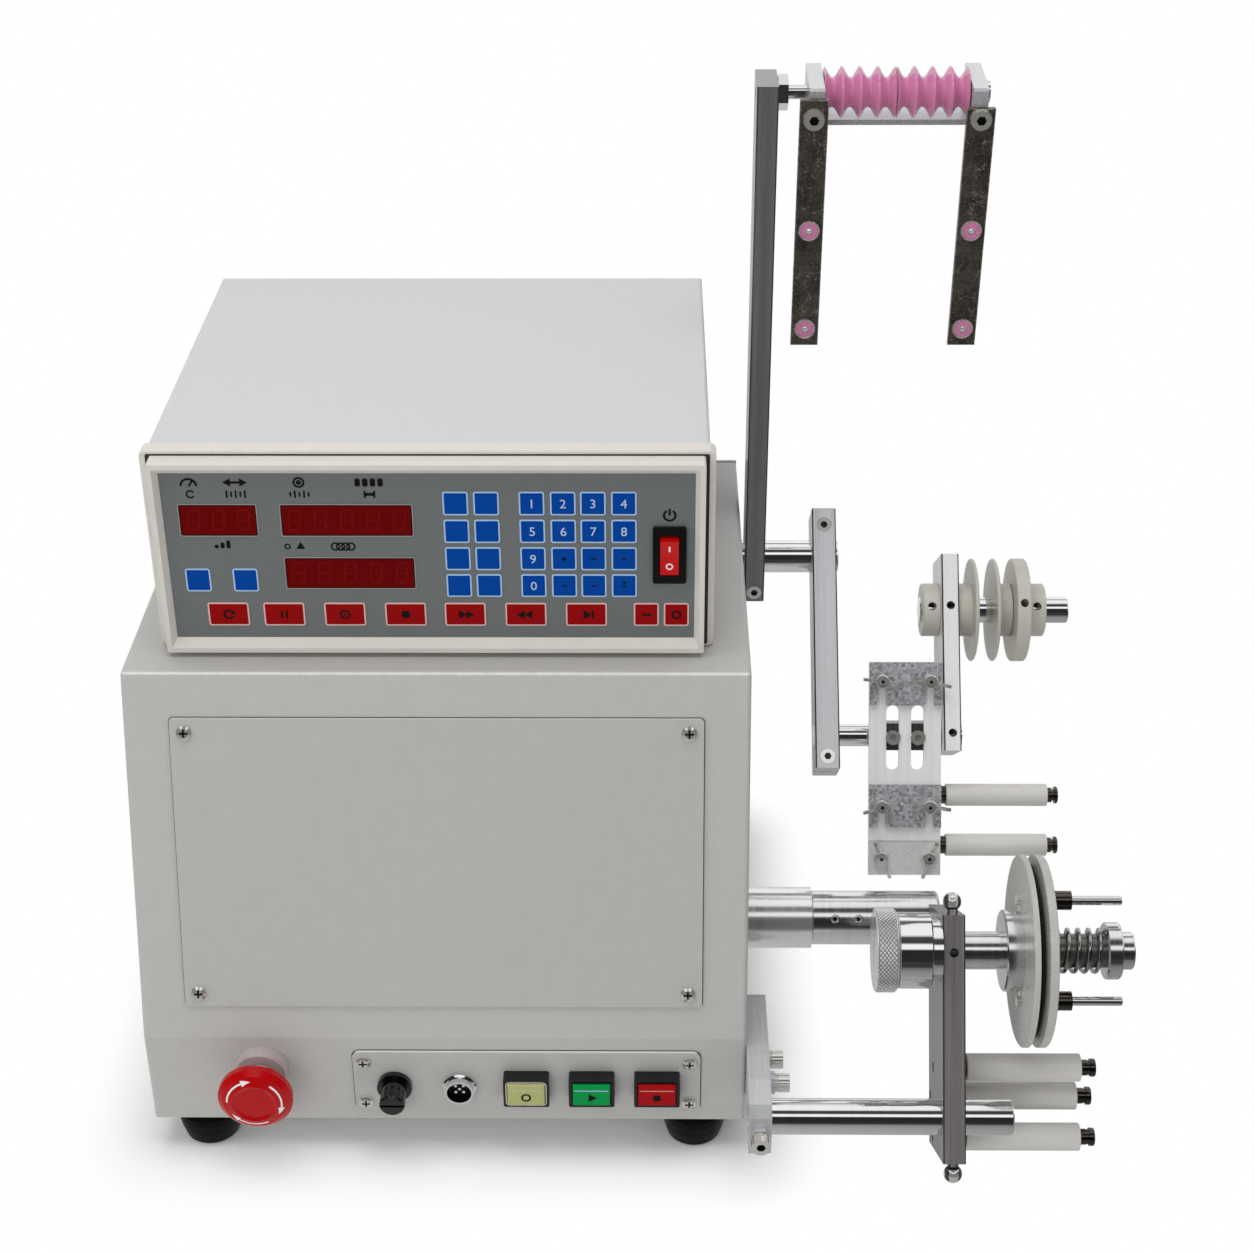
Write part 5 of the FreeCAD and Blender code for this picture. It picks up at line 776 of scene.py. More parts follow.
def dress(piece, body, slot, *names):
    for name in names:
        piece.data.materials.append(finishes[name])
    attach(piece, body)


def cutAway(piece, cutter):  # takes the cutter's shape out of the piece
    chooseOnly(piece)
    cut = piece.modifiers.new("cut", "BOOLEAN")
    cut.object = cutter
    cut.operation = "DIFFERENCE"
    cut.solver = "EXACT"
    bpy.ops.object.modifier_apply(modifier="cut")
    remove(cutter)


# A closed ring about an axis through middle: a rounded section of width by depth, spun all the way round
def spunRing(name, middle, axis, radius, width, depth, corner, steps=64):
    sideways = {"x": (0, 0, math.pi / 2), "y": (0, 0, 0)}[axis]
    shift = {"x": (0, radius, 0), "y": (radius, 0, 0)}[axis]
    ring = addSheet(name, [a + b for a, b in zip(middle, shift)], (width, depth), sideways)
    edit(ring)
    pickAll()
    bpy.ops.mesh.bevel(offset=corner * mm, segments=3, affect="VERTICES")
    pickAll()
    bpy.ops.mesh.delete(type="ONLY_FACE")
    pickAll()
    way = {"x": (1, 0, 0), "y": (0, 1, 0)}[axis]
    bpy.ops.mesh.spin(steps=steps, angle=2 * math.pi, center=inMetres(middle), axis=way)
    weld()
    outward()
    return done(ring)


# Marks printed on a face that looks along -Y; places are x, z in mm and depth is where the print starts
printThick = 0.12


def markBar(x, z, width, height, depth, turn=0):
    bar = addBlock("mark", (0, -printThick / 2, 0), (width, printThick, height))
    roundSides(bar, min(width, height) * 0.3, 2)
    done(bar)
    swing(bar, -turn, "Y")
    slide(bar, x, depth, z)
    return bar


def markTriangle(x, z, size, depth, turn=0):  # points right, turned anticlockwise
    mark = addDisc("mark", (0, -printThick / 2, 0), size * 0.62, printThick, 3)
    roundSides(mark, size * 0.06, 2)
    done(mark)
    swing(mark, 90 - turn, "Y")
    slide(mark, x, depth, z)
    return mark


def markArc(x, z, radius, width, depth, first=0, last=360):  # degrees anticlockwise from the right
    mark = addSheet("mark", (x + radius, depth - printThick / 2, z), (width, printThick))
    slide(mark, -x, 0, -z)
    swing(mark, -first, "Y")
    slide(mark, x, 0, z)
    edit(mark)
    pickAll()
    whole = last - first >= 360
    if whole:
        bpy.ops.mesh.delete(type="ONLY_FACE")
        pickAll()
    steps = max(6, int((last - first) / 12))
    sweep = math.radians(last - first)
    bpy.ops.mesh.spin(steps=steps, angle=sweep, center=inMetres((x, 0, z)), axis=(0, 1, 0))
    weld()
    outward()
    return done(mark)


def markDigit(text, x, z, height, depth):
    chooseNone()
    bpy.ops.object.text_add(rotation=(math.pi / 2, 0, 0))
    mark = bpy.context.active_object
    mark.data.body = text
    mark.data.size = height * 1.4 * mm
    mark.data.extrude = printThick / 2 * mm
    mark.data.resolution_u = 3
    mark.data.align_x = "CENTER"
    bpy.ops.object.convert(target="MESH")
    mark = named("mark")
    edit(mark)
    weld()
    done(mark)
    low = min(corner.co.z for corner in mark.data.vertices)
    high = max(corner.co.z for corner in mark.data.vertices)
    shift = Matrix.Translation((x * mm, (depth - printThick / 2) * mm, z * mm - (low + high) / 2))
    mark.data.transform(shift)
    return mark


# Keys, windows and prints of the front panel
panel = {
    "face": -78.9,  # the front of the overlay
    "keyThick": 0.4,
    "keyRaise": 0.2,
    "keyCorner": 1.3,
    "lineWidth": 0.75,
    "keySize": (12.8, 13.2),
    "blockColumns": (12.8, 28.2),
    "digitColumns": (50.95, 66.6, 81.65, 97.15),
    "rows": (365.4, 349.7, 334.0, 318.4),
    "stepKeys": ((-120.45, 321.5), (-96.2, 321.5)),
    "redSize": (21.1, 13.5),
    "redColumns": (-106.75, -78.05, -46.75, -15.45, 15.25, 46.45, 77.55),
    "redSmallSize": (12.9, 13.5),
    "redSmallColumns": (108.35, 123.8),
    "redRow": 301.45,
    "digitHeight": 5.0,
}
windows = {  # middle x, z, width, height and the middles of its digits
    "speed_window": (-107.0, 355.85, 40.0, 18.5, (-12.4, 0.2, 12.8)),
    "count_window": (-42.25, 355.85, 67.1, 18.5, (-26.4, -13.2, 0.0, 13.2, 26.4)),
    "turns_window": (-42.45, 325.6, 66.9, 18.6, (-26.4, -13.2, 0.0, 13.2, 26.4)),
}
segment = {"long": 5.6, "wide": 1.05, "thick": 0.06, "lean": 0.09}
keyFront = panel["face"] - panel["keyThick"] - panel["keyRaise"]


# A plate on the panel with a rounded outline, a line round it and a face raised or sunk by rise
def framedPlate(name, size, rise, lines):
    thick = panel["keyThick"]
    plate = addBlock(name, (0, -thick / 2, 0), (size[0], thick, size[1]))
    roundSides(plate, panel["keyCorner"], 4)
    pick(plate, "faces", looks(0, -1, 0))
    for slot, width in enumerate(lines, 1):
        bpy.ops.mesh.inset(thickness=width * mm)
        paintPicked(plate, slot)
    bpy.ops.mesh.inset(thickness=0.25 * mm, depth=rise * mm)
    return done(plate)


def makeKeys(label, size, places, line, face):
    model = framedPlate(label, size, panel["keyRaise"], [panel["lineWidth"]])
    for number, (x, z) in enumerate(places, 1):
        key = copyTo(model, label + "_" + str(number), (x, panel["face"], z))
        dress(key, "case", "panel_film", line, face)
    remove(model)


def makeSegmentDigit():  # seven bars with pointed ends
    length = segment["long"]
    places = [(0, length, 0), (0, 0, 0), (0, -length, 0)]
    places += [(side * length / 2, up * length / 2, 90) for side in (-1, 1) for up in (-1, 1)]
    bars = []
    for x, z, turn in places:
        bar = addBlock("bar", (0, 0, 0), (length - 0.3, segment["thick"], segment["wide"]))
        roundSides(bar, segment["wide"] * 0.45, 1)
        done(bar)
        swing(bar, turn, "Y")
        slide(bar, x, 0, z)
        bars.append(bar)
    digit = joined("digit", bars)
    digit.data.transform(Matrix(((1, 0, segment["lean"], 0), (0, 1, 0, 0), (0, 0, 1, 0), (0, 0, 0, 1))))
    return digit


def makeWindows():
    digit = makeSegmentDigit()
    for name, (x, z, width, height, middles) in windows.items():
        # The outer line is a painted highlight on the lip and the inner border painted shade
        window = framedPlate(name, (width, height), -0.15, [0.55, 0.5])
        slide(window, x, panel["face"], z)
        dress(window, "case", "panel_film", "windowLipHighlight", "windowInnerShade", "displayRed")
        depth = panel["face"] - panel["keyThick"] + 0.15
        copies = [copyTo(digit, "digit", (x + middle, depth, z)) for middle in middles]
        dress(joined(name + "_digits", copies), "case", "panel_film", "segmentRed")
    remove(digit)


def makeKeyDigits():
    depth = keyFront
    height = panel["digitHeight"]
    columns = panel["digitColumns"]
    rows = panel["rows"]
    places = [("9", columns[0], rows[2]), ("0", columns[0], rows[3])]
    for row in range(2):
        for column in range(4):
            places.append((str(1 + row * 4 + column), columns[column], rows[row]))
    marks = [markDigit(text, x, z, height, depth) for text, x, z in places]
    dress(joined("key_digits", marks), "case", "panel_film", "printPale")


def makeKeySymbols():  # plain marks on the keys without a number, and on the red ones
    depth = keyFront
    columns = panel["digitColumns"]
    faint = []
    for column in (1, 2, 3):
        faint.append(markBar(columns[column], panel["rows"][2], 2.6, 0.7, depth))
        faint.append(markBar(columns[column], panel["rows"][3], 2.6, 0.7, depth))
    faint.append(markBar(columns[1], panel["rows"][2], 0.7, 2.6, depth))
    faint.append(markTriangle(columns[3], panel["rows"][3] + 1.8, 1.6, depth, 90))
    dress(joined("key_marks", faint), "case", "panel_film", "printDark")
    red = panel["redRow"]
    x = panel["redColumns"]
    marks = [
        markArc(x[0], red, 2.3, 1.0, depth, 50, 340), markTriangle(x[0] + 2.4, red + 1.0, 2.6, depth, 90),
        markBar(x[1] - 1.3, red, 1.0, 4.6, depth), markBar(x[1] + 1.3, red, 1.0, 4.6, depth),
        markArc(x[2], red, 2.3, 1.0, depth), markBar(x[2], red, 1.2, 1.2, depth),
        markBar(x[3], red, 4.2, 4.2, depth),
        markTriangle(x[4] - 1.9, red, 4.4, depth), markTriangle(x[4] + 1.9, red, 4.4, depth),
        markTriangle(x[5] - 1.9, red, 4.4, depth, 180), markTriangle(x[5] + 1.9, red, 4.4, depth, 180),
        markTriangle(x[6], red, 4.8, depth), markBar(x[6] + 3.4, red, 0.9, 4.6, depth),
        markBar(panel["redSmallColumns"][0], red, 4.6, 1.2, depth),
        markArc(panel["redSmallColumns"][1], red, 2.1, 1.0, depth),
    ]
    dress(joined("red_key_marks", marks), "case", "panel_film", "printDark")


def makePanelMarks():  # plain signs beside the windows and over the power switch
    depth = panel["face"]
    upper = 377.0
    lower = 370.4
    between = 340.8
    marks = [
        markArc(-120.0, upper - 2.0, 3.9, 1.1, depth, 0, 180),
        markBar(-118.8, upper - 0.4, 1.0, 4.2, depth, -30),
        markArc(-119.6, lower, 1.9, 0.8, depth, 30, 330),
        markTriangle(-100.4, upper, 4.2, depth, 180), markBar(-96.8, upper, 5.0, 1.2, depth),
        markTriangle(-93.2, upper, 4.2, depth),
        markArc(-64.9, upper, 2.5, 1.0, depth), markArc(-64.9, upper, 0.7, 1.2, depth),
        markArc(-73.3, between, 1.3, 0.7, depth),
        markTriangle(-66.6, between, 4.2, depth, 90),
        markArc(120.1, 358.6, 2.9, 1.1, depth, 120, 420), markBar(120.1, 360.4, 1.1, 3.8, depth),
        markBar(-32.3, lower, 1.0, 4.0, depth), markBar(-27.5, lower, 1.0, 4.0, depth),
        markBar(-29.9, lower, 4.4, 1.6, depth),
    ]
    for step in range(5):
        marks.append(markBar(-101.4 + 2.3 * step, lower, 0.9, 3.0 if step % 2 else 4.2, depth))
        marks.append(markBar(-69.5 + 2.3 * step, lower, 0.9, 4.0 if step % 2 else 2.6, depth))
    for step in range(4):
        marks.append(markBar(-35.6 + 3.8 * step, upper, 2.7, 4.4, depth))
        marks.append(markArc(-49.0 + 2.6 * step, between, 2.0, 0.8, depth))
    for step in range(3):
        marks.append(markBar(-109.2 + 3.0 * step, between + 0.6 * step, 2.0, 2.0 + 1.2 * step, depth))
    dress(joined("panel_marks", marks), "case", "panel_film", "printDark")


blueBlock = [(x, z) for z in panel["rows"] for x in panel["blockColumns"]]
digitBlock = [(x, z) for z in panel["rows"] for x in panel["digitColumns"]]
redWide = [(x, panel["redRow"]) for x in panel["redColumns"]]
redSmall = [(x, panel["redRow"]) for x in panel["redSmallColumns"]]
makeKeys("step_key", panel["keySize"], panel["stepKeys"], "keyLineBlue", "keyBlue")
makeKeys("block_key", panel["keySize"], blueBlock, "keyLineBlue", "keyBlue")
makeKeys("digit_key", panel["keySize"], digitBlock, "keyLineBlue", "keyBlue")
makeKeys("red_key", panel["redSize"], redWide, "keyLineRed", "keyRed")
makeKeys("small_red_key", panel["redSmallSize"], redSmall, "keyLineRed", "keyRed")
makeWindows()
makeKeyDigits()
makeKeySymbols()
makePanelMarks()
print("panel made")


# Painted shadow lines round the two plates on the case, each a thin dark sheet that stands out a little all
# round
seamShadows = {"spare": 0.55, "thick": 0.2, "instrument": (43.6, 49.6, 188.2, 42.2, 4.0),
         "front": (0, 100.05, 276.5, 161.5, 2.0), "slope": 14.883, "bend": (-150.5, 79.2)}


def makeSeamShadow(name, x, z, width, height, corner):
    spare = seamShadows["spare"]
    thick = seamShadows["thick"]
    sheet = addBlock(name, (x, -thick / 2, z), (width + 2 * spare, thick, height + 2 * spare))
    roundSides(sheet, corner + spare, 6)
    done(sheet)
    dress(sheet, "case", "case_paint", "seamShade")
    return sheet


def makeSeamShadows():
    y, z = seamShadows["bend"]
    slide(makeSeamShadow("instrument_plate_seam_shadow", *seamShadows["instrument"]), 0, y, 0)
    front = makeSeamShadow("front_plate_seam_shadow", *seamShadows["front"])
    swing(front, -seamShadows["slope"], "X")
    slide(front, 0, y, z)


makeSeamShadows()


# Painted shade for the gap between the front frame's face and the wider rim behind it, as a thin dark flat
# frame on the rim
frameGapShade = {"side": 2.0, "up": 0.9, "thick": 0.15, "cover": 0.3, "corner": 1.0,
            "rimSide": 5.2, "rimLow": 2.4, "rimHigh": 2.8, "rimBack": 11.2}


def makeFrameGapShade():
    low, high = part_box("controller_bezel")
    left = low.x / mm + frameGapShade["rimSide"]
    right = high.x / mm - frameGapShade["rimSide"]
    bottom = low.z / mm + frameGapShade["rimLow"]
    top = high.z / mm - frameGapShade["rimHigh"]
    thick = frameGapShade["thick"]
    middle = ((left + right) / 2, low.y / mm + frameGapShade["rimBack"] - thick / 2, (bottom + top) / 2)
    outer = (right - left + 2 * frameGapShade["side"], thick, top - bottom + 2 * frameGapShade["up"])
    inner = (right - left - 2 * frameGapShade["cover"], 4 * thick, top - bottom - 2 * frameGapShade["cover"])
    gap = addBlock("frame_gap_shade", middle, outer)
    roundSides(gap, frameGapShade["corner"], 3)
    done(gap)
    cutAway(gap, addBlock("hole", middle, inner))
    dress(gap, "case", "bezel_plastic", "gapShade")


makeFrameGapShade()


# The I and O on the power rocker, each on its own half of the face, which meet at a flat angle
rocker = {"x": 120.1, "z": 336.5, "axis": -77.9, "turn": 7.0, "front": 3.65, "slope": 5.66, "off": 5.4}


def makeRockerMarks():
    upright = markBar(0, 0, 0.9, 3.6, 0)
    ring = markArc(0, 0, 1.5, 0.75, 0)
    for mark, side in ((upright, 1), (ring, -1)):
        slide(mark, 0, 0, side * rocker["off"])
        swing(mark, side * rocker["slope"], "X")
        slide(mark, 0, 0.05 - rocker["front"], 0)
    marks = joined("rocker_marks", [upright, ring])
    swing(marks, rocker["turn"], "X")
    slide(marks, rocker["x"], rocker["axis"], rocker["z"])
    dress(marks, "power_rocker", "signal_red", "printWhite")


makeRockerMarks()


# The arrows on the emergency stop head, on its sloping ring
stopHead = {
    "x": -100.0, "z": 58.5,
    "outer": (17.2, -177.8),  # radius and y of the ring's outer and inner edges
    "inner": (12.0, -179.8),
    "line": 1.0,  # width of an arrow's line
    "sweep": 64,
    "point": 20,  # degrees that an arrow's point takes
    "pointWidth": 3.6,
    "starts": (114, -12, 232),  # where the points begin, in degrees from the right
}


def makeStopArrow(start):  # the line runs back from the point, which looks clockwise
    (outer, outerY), (inner, innerY) = stopHead["outer"], stopHead["inner"]
    slope = math.atan2(outerY - innerY, outer - inner)
    middle = ((outer + inner) / 2, (outerY + innerY) / 2 - 0.02)
    parts = []
    for width, turn, steps, way in ((stopHead["line"], stopHead["sweep"], 12, 1),
                                    (stopHead["pointWidth"], stopHead["point"], 6, -1)):
        strip = addSheet("arrow", (middle[0], middle[1], 0), (width, 0.16), (0, 0, slope))
        edit(strip)
        pickAll()
        bpy.ops.mesh.spin(steps=steps, angle=math.radians(turn), center=(0, 0, 0), axis=(0, way, 0))
        if way < 0:  # the point narrows to its end, a row of corners at a time
            for row in range(1, steps + 1):
                angle = -math.radians(turn * row / steps)
                spot = Vector((middle[0] * math.cos(angle), middle[1], middle[0] * math.sin(angle))) * mm
                pick(strip, "verts",
                     lambda corner: abs(math.atan2(corner.co.z, corner.co.x) - angle) < 0.01)
                bpy.ops.transform.resize(value=(1 - row / steps + 0.02,) * 3, center_override=spot)
        outward()
        parts.append(done(strip))
    arrow = joined("arrow", parts)
    swing(arrow, -start, "Y")
    slide(arrow, stopHead["x"], 0, stopHead["z"])
    return arrow


dress(joined("stop_arrows", [makeStopArrow(start) for start in stopHead["starts"]]),
      "estop_head", "signal_red", "printWhite")


# Bright trims round the push button caps, a line across each cap that is a painted highlight of its upper
# edge, and the signs on the caps
buttons = {
    "columns": {"mode": 43.5, "start": 78.9, "stop": 114.3},
    "z": 48.2,
    "housingFront": -159.5,
    "capFront": -161.0,
    "trimOuter": (22.2, 16.4),
    "trimInner": (21.0, 15.2),
    "trimThick": 0.5,
    # The line across a cap is a painted highlight of its upper edge
    "line": (18.6, 0.5),  # width and height of the bright line across a cap
    "highlightUp": 3.4,
    "signDown": 1.6,
}


def makeButtonTrim():
    width, height = buttons["trimOuter"]
    thick = buttons["trimThick"]
    trim = addBlock("button_trim", (0, -thick / 2 + 0.1, 0), (width, thick, height))
    hole = addBlock("hole", (0, 0, 0), (buttons["trimInner"][0], 4 * thick, buttons["trimInner"][1]))
    for block, corner in ((trim, 2.2), (hole, 1.6)):
        roundSides(block, corner, 4)
        done(block)
    cutAway(trim, hole)
    return trim


def makeButtonDetails():
    model = makeButtonTrim()
    front = buttons["capFront"]
    low = buttons["z"] - buttons["signDown"]
    # The last finish of each is that of the cap's painted highlight line
    caps = (("mode", "lamp_cream", "paleMetal"), ("start", "lamp_green", "keyLineBlue"),
            ("stop", "signal_red", "capHighlightRed"))
    for label, slot, line in caps:
        x = buttons["columns"][label]
        trim = copyTo(model, "button_trim_" + label, (x, buttons["housingFront"], buttons["z"]))
        dress(trim, "case", "button_frame", "paleMetal" if label == "mode" else "switchBlack")
        # A painted highlight line across the cap's upper part
        capHighlight = markBar(x, buttons["z"] + buttons["highlightUp"], *buttons["line"], front)
        capHighlight.name = "cap_highlight_" + label
        dress(capHighlight, label + "_button", slot, line)
        if label == "mode":
            sign = markArc(x, low, 2.2, 1.0, front)
        elif label == "start":
            sign = markTriangle(x, low, 5.0, front)
        else:
            sign = markBar(x, low, 4.2, 4.2, front)
        sign.name = label + "_sign"
        dress(sign, label + "_button", slot, "printDark")
    remove(model)


makeButtonDetails()
print("controls made")


# The socket's black insert round its pins
def makeSocketInsert():
    middle = socket["floor"] - socket["thick"] / 2
    insert = addDisc("socket_insert", (socket["x"], middle, socket["z"]), socket["radius"], socket["thick"])
    edit(insert)
    pick(insert, "faces", looks(0, -1, 0))
    bpy.ops.mesh.inset(thickness=0.5 * mm, depth=-0.3 * mm)
    done(insert)
    pins = [(0, 0)] + [(socket["pinCircle"], math.radians(45 + 90 * number)) for number in range(4)]
    for out, angle in pins:
        x = socket["x"] + out * math.cos(angle)
        z = socket["z"] + out * math.sin(angle)
        cutAway(insert, addDisc("hole", (x, middle, z), socket["pin"], socket["thick"] * 2, 16))
    dress(insert, "case", "switch_black", "blackInsertAndPocketShade")


makeSocketInsert()


# Set screws in the spindle's nose: a bright top rim, and the rest painted dark, which shows as painted shade
# in the hex socket
setScrews = {"places": (214.1, 227.2, 236.7), "lean": 34.0, "out": 13.4, "radius": 2.4, "long": 4.0,
             "edge": 0.35, "hex": 1.35, "hexDeep": 1.6}


def makeSetScrews():
    low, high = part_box("winding_spindle")
    middle = (low + high) / 2
    length = setScrews["long"]
    model = addDisc("set_screw", (0, 0, -length / 2), setScrews["radius"], length, 32, "z")
    edit(model)
    pick(model, "edges", lambda edge: not runs("z")(edge) and edge.verts[0].co.z > -0.0001)
    bpy.ops.mesh.bevel(offset=setScrews["edge"] * mm, segments=2)
    done(model)
    cutAway(model, addDisc("hex", (0, 0, 0), setScrews["hex"], 2 * setScrews["hexDeep"], 6, "z"))
    edit(model)
    # Only the top rim stays bright; the hex socket keeps the dark finish as painted shade
    pick(model, "faces", lambda face: face.normal.z > 0.3 and face.calc_center_median().z > -0.5 * mm)
    paintPicked(model, 1)
    done(model)
    lean = Matrix.Rotation(math.radians(90 - setScrews["lean"]), 4, "X")
    for number, x in enumerate(setScrews["places"], 1):
        screw = copyTo(model, "spindle_screw_" + str(number), (0, 0, setScrews["out"]))
        screw.data.transform(Matrix.Translation((x * mm, middle.y, middle.z)) @ lean)
        dress(screw, "spindle", "screw_steel", "blackedSteel", "screwSteel")
    remove(model)


makeSetScrews()


# The knurled brake knob, which stands for its plain solid
knob = {"width": 11.5, "diamonds": 52, "rows": 5, "diamondHeight": 0.65, "groove": 0.14, "chamfer": 0.7,
        "recess": 8.0, "recessDepth": 3.0, "stud": 6.0}


def makeKnob():
    low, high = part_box("brake_knob")
    middle = (low + high) / 2 / mm
    radius = (high.z - low.z) / 2 / mm - knob["diamondHeight"]
    left = low.x / mm
    right = left + knob["width"]
    piece = addDisc("knurled_knob", (left + knob["width"] / 2, middle.y, middle.z), radius, knob["width"],
                    knob["diamonds"], "x")
    edit(piece)
    pick(piece, "edges", lambda edge: not runs("x")(edge))
    bpy.ops.mesh.bevel(offset=knob["chamfer"] * mm, segments=2)
    pick(piece, "edges", lambda edge: runs("x")(edge) and edge.calc_length() > knob["width"] / 2 * mm)
    bpy.ops.mesh.subdivide(number_cuts=knob["rows"] - 1)
    edge = knob["chamfer"] * mm
    pick(piece, "faces", lambda face: abs(face.normal.x) < 0.05 and
         low.x + edge < face.calc_center_median().x < right * mm - edge)
    bpy.ops.mesh.poke(offset=0)
    bpy.ops.mesh.tris_convert_to_quads(face_threshold=math.pi, shape_threshold=math.pi)
    # The grooves round the diamonds keep the second, dark finish as painted shade
    paintPicked(piece, 1)
    bpy.ops.mesh.inset(thickness=knob["groove"] * mm, use_individual=True)
    paintPicked(piece, 0)
    bpy.ops.mesh.poke(offset=knob["diamondHeight"] * mm)
    face = radius - knob["chamfer"]
    ends = ((-1, knob["recess"], knob["recessDepth"]), (1, knob["stud"], high.x / mm - right))
    for way, rim, push in ends:
        pick(piece, "faces", looks(way, 0, 0))
        bpy.ops.mesh.inset(thickness=(face - rim) * mm)
        bpy.ops.mesh.extrude_region_move(TRANSFORM_OT_translate={"value": (push * mm, 0, 0)})
    done(piece, 20)
    dress(piece, "brake_knob", "bright_steel", "knurlSteel", "edgeMetalShade")
    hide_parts("brake_knob")


makeKnob()


# The felt ring between the tension wheel's discs
felt = {"radius": 33.0, "width": 26.0, "thick": 1.5, "corner": 0.3, "discEnd": 311.0}


def makeFelt():
    low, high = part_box("wheel_hub")
    middle = (low + high) / 2 / mm
    ring = spunRing("wheel_felt", (felt["discEnd"] + felt["thick"] / 2, middle.y, middle.z), "x",
                    felt["radius"], felt["width"], felt["thick"], felt["corner"], 96)
    dress(ring, "tension_wheel", "black_rubber", "blackFelt")


makeFelt()


def makeSpringGiveWay():
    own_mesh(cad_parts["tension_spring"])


makeSpringGiveWay()
print("wheels and knob made")


# Metal rims round the ceramic eyelets of the hanging bars, and a pale bush in each
eyelets = {"rim": 5.2, "rimWidth": 0.8, "rimThick": 0.8, "bush": 1.5, "bushWidth": 0.9, "bushLong": 2.4}


def makeEyeletRims():
    found = [(middle / mm, size / mm) for faces, middle, size in looseSolids(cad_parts["hanging_bars"])
             if barFinish(middle, size) == "pinkCeramic"]
    for number, (place, size) in enumerate(found, 1):
        front = place.y - size.y / 2 + 0.25
        rim = spunRing("eyelet_rim_" + str(number), (place.x, front, place.z), "y",
                       eyelets["rim"], eyelets["rimWidth"], eyelets["rimThick"], 0.3, 40)
        bush = spunRing("eyelet_bush_" + str(number), (place.x, front + eyelets["bushLong"] / 2, place.z),
                        "y", eyelets["bush"], eyelets["bushWidth"], eyelets["bushLong"], 0.2, 32)
        dress(rim, "guide_fork", "dark_nickel", "screwSteel")
        dress(bush, "guide_fork", "pink_ceramic", "paleMetal")


makeEyeletRims()
print("eyelets made")


# Floor, light and background
studio = {
    "ambient": 0.32,  # the light from all round, on matt surfaces
    "topPower": 15.0,
    "frontPower": 8.8,
    "leftPower": 5.0,
    "rightPower": 1.0,
    # The stops of what surfaces mirror: brightness by height before and behind the machine, and on the floor
    "mirrorAhead": [(0, 0.05), (0.05, 0.025), (0.62, 0.02), (0.67, 1), (0.81, 1), (0.86, 0.05), (0.97, 0.06),
                    (0.99, 0.95)],
    "mirrorBehind": [(0, 0.7), (0.12, 0.9), (0.2, 1), (0.64, 1), (0.7, 0.12), (0.76, 0.12), (0.81, 0.95),
                     (1, 0.95)],
    "mirrorFloor": [(0.1, 0.5), (0.2, 0.3), (0.4, 0.04)],
    "floorLift": 0.04,  # how much brighter than its own shade the floor shows
    "footprint": (0.15, 0.14),  # half the width and depth of the case's place on the floor
    "floorFade": (0.0, 0.068),  # metres away from that place over which the floor turns white
}


# The background is white. Surfaces mirror a dark front under a bright strip and ceiling, and a white back.
def makeWorld():
    world = bpy.data.worlds.new("studio")
    bpy.context.scene.world = world
    world.use_nodes = True
    bench = Bench(world.node_tree)
    background = world.node_tree.nodes["Background"]
    ray = bench.add("ShaderNodeLightPath").outputs
    way = bench.add("ShaderNodeTexCoord").outputs["Generated"]
    way = bench.add("ShaderNodeSeparateXYZ", {0: way}).outputs
    ahead = bench.ramp(way["Z"], studio["mirrorAhead"])
    behind = bench.ramp(way["Z"], studio["mirrorBehind"])
    mirrored = bench.blend(bench.span(way["Y"], -0.08, 0.12), ahead, behind)
    ambient = (studio["ambient"],) * 3 + (1,)
    seen = bench.blend(ray["Is Glossy Ray"], ambient, mirrored)
    shown = bench.math("MAXIMUM", ray["Is Camera Ray"], ray["Is Transmission Ray"])
    bench.feed(background, "Color", bench.blend(shown, seen, (1, 1, 1, 1)))


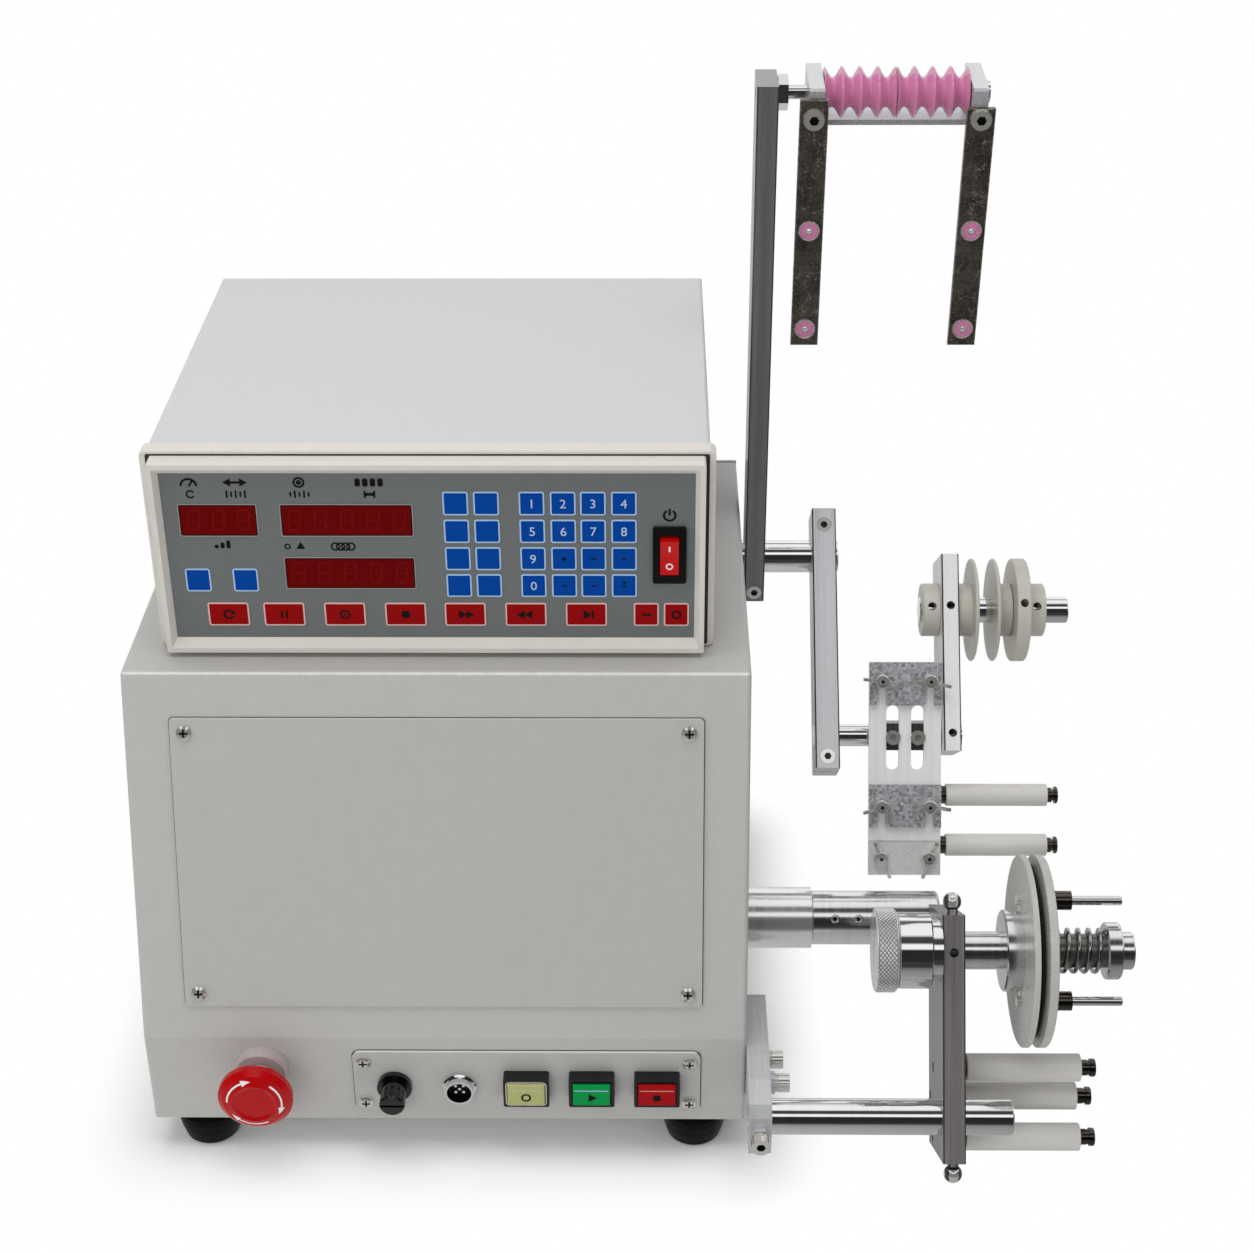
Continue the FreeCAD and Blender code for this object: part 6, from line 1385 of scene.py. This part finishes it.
def makeFloor():
    chooseNone()
    bpy.ops.mesh.primitive_plane_add(size=8)
    floor = bpy.context.active_object
    floor.name = "floor"
    material = bpy.data.materials.new("floor")
    material.use_nodes = True
    bench = Bench(material.node_tree)
    nodes = material.node_tree.nodes
    matt = nodes["Principled BSDF"]
    matt.inputs["Base Color"].default_value = shade(252, 252, 252)
    matt.inputs["Roughness"].default_value = 0.9
    matt.inputs["Specular IOR Level"].default_value = 0.1
    ray = bench.add("ShaderNodeLightPath").outputs
    place = bench.add("ShaderNodeTexCoord").outputs["Object"]
    away = bench.add("ShaderNodeVectorMath", {0: place}, operation="LENGTH").outputs["Value"]
    near = bench.ramp(bench.math("DIVIDE", away, 2.0), studio["mirrorFloor"])
    parts = bench.add("ShaderNodeSeparateXYZ", {0: place}).outputs
    mirrored = bench.blend(bench.span(parts["Y"], 0.1, 0.5), near, (0.8, 0.8, 0.8, 1))
    first, last = studio["floorFade"]
    mirror = bench.add("ShaderNodeEmission", {"Color": mirrored})
    lift = bench.add("ShaderNodeEmission", {"Color": (1, 1, 1, 1), "Strength": studio["floorLift"]})
    white = bench.add("ShaderNodeEmission", {"Color": (1, 1, 1, 1)})
    lifted = bench.add("ShaderNodeAddShader", {0: matt.outputs[0], 1: lift.outputs[0]})
    squares = []
    for axis, half in zip(("X", "Y"), studio["footprint"]):
        beyond = bench.math("SUBTRACT", bench.math("ABSOLUTE", parts[axis]), half)
        squares.append(bench.math("POWER", bench.math("MAXIMUM", beyond, 0.0), 2.0))
    gap = {0: bench.math("SQRT", bench.math("ADD", *squares)), 1: first, 2: last}
    far = bench.add("ShaderNodeMapRange", gap, interpolation_type="SMOOTHSTEP").outputs[0]
    shown = bench.add("ShaderNodeMixShader", {0: far, 1: lifted.outputs[0], 2: white.outputs[0]})
    plain = {0: ray["Is Camera Ray"], 1: matt.outputs[0], 2: shown.outputs[0]}
    plain = bench.add("ShaderNodeMixShader", plain).outputs[0]
    whole = {0: ray["Is Glossy Ray"], 1: plain, 2: mirror.outputs[0]}
    whole = bench.add("ShaderNodeMixShader", whole)
    bench.feed(nodes["Material Output"], "Surface", whole.outputs[0])
    floor.data.materials.append(material)


def makeLamp(name, power, size, place, target):
    data = bpy.data.lights.new(name, "AREA")
    data.shape = "RECTANGLE"
    data.size = size[0]
    data.size_y = size[1]
    data.energy = power
    lamp = bpy.data.objects.new(name, data)
    lamp.visible_glossy = False
    lamp.location = place
    lamp.rotation_euler = (Vector(target) - Vector(place)).to_track_quat("-Z", "Y").to_euler()
    bpy.context.scene.collection.objects.link(lamp)


makeWorld()
makeFloor()
makeLamp("top softbox", studio["topPower"], (1.5, 1.1), (0.0, -0.15, 1.9), (0.05, 0, 0.1))
makeLamp("front softbox", studio["frontPower"], (1.2, 0.9), (-0.5, -1.9, 1.1), (0.05, 0, 0.2))
makeLamp("left softbox", studio["leftPower"], (1.0, 1.0), (-1.7, -0.7, 0.9), (0.2, 0, 0.2))
makeLamp("right softbox", studio["rightPower"], (0.9, 0.9), (1.7, -0.6, 1.0), (0.1, 0, 0.2))
print("studio lit")
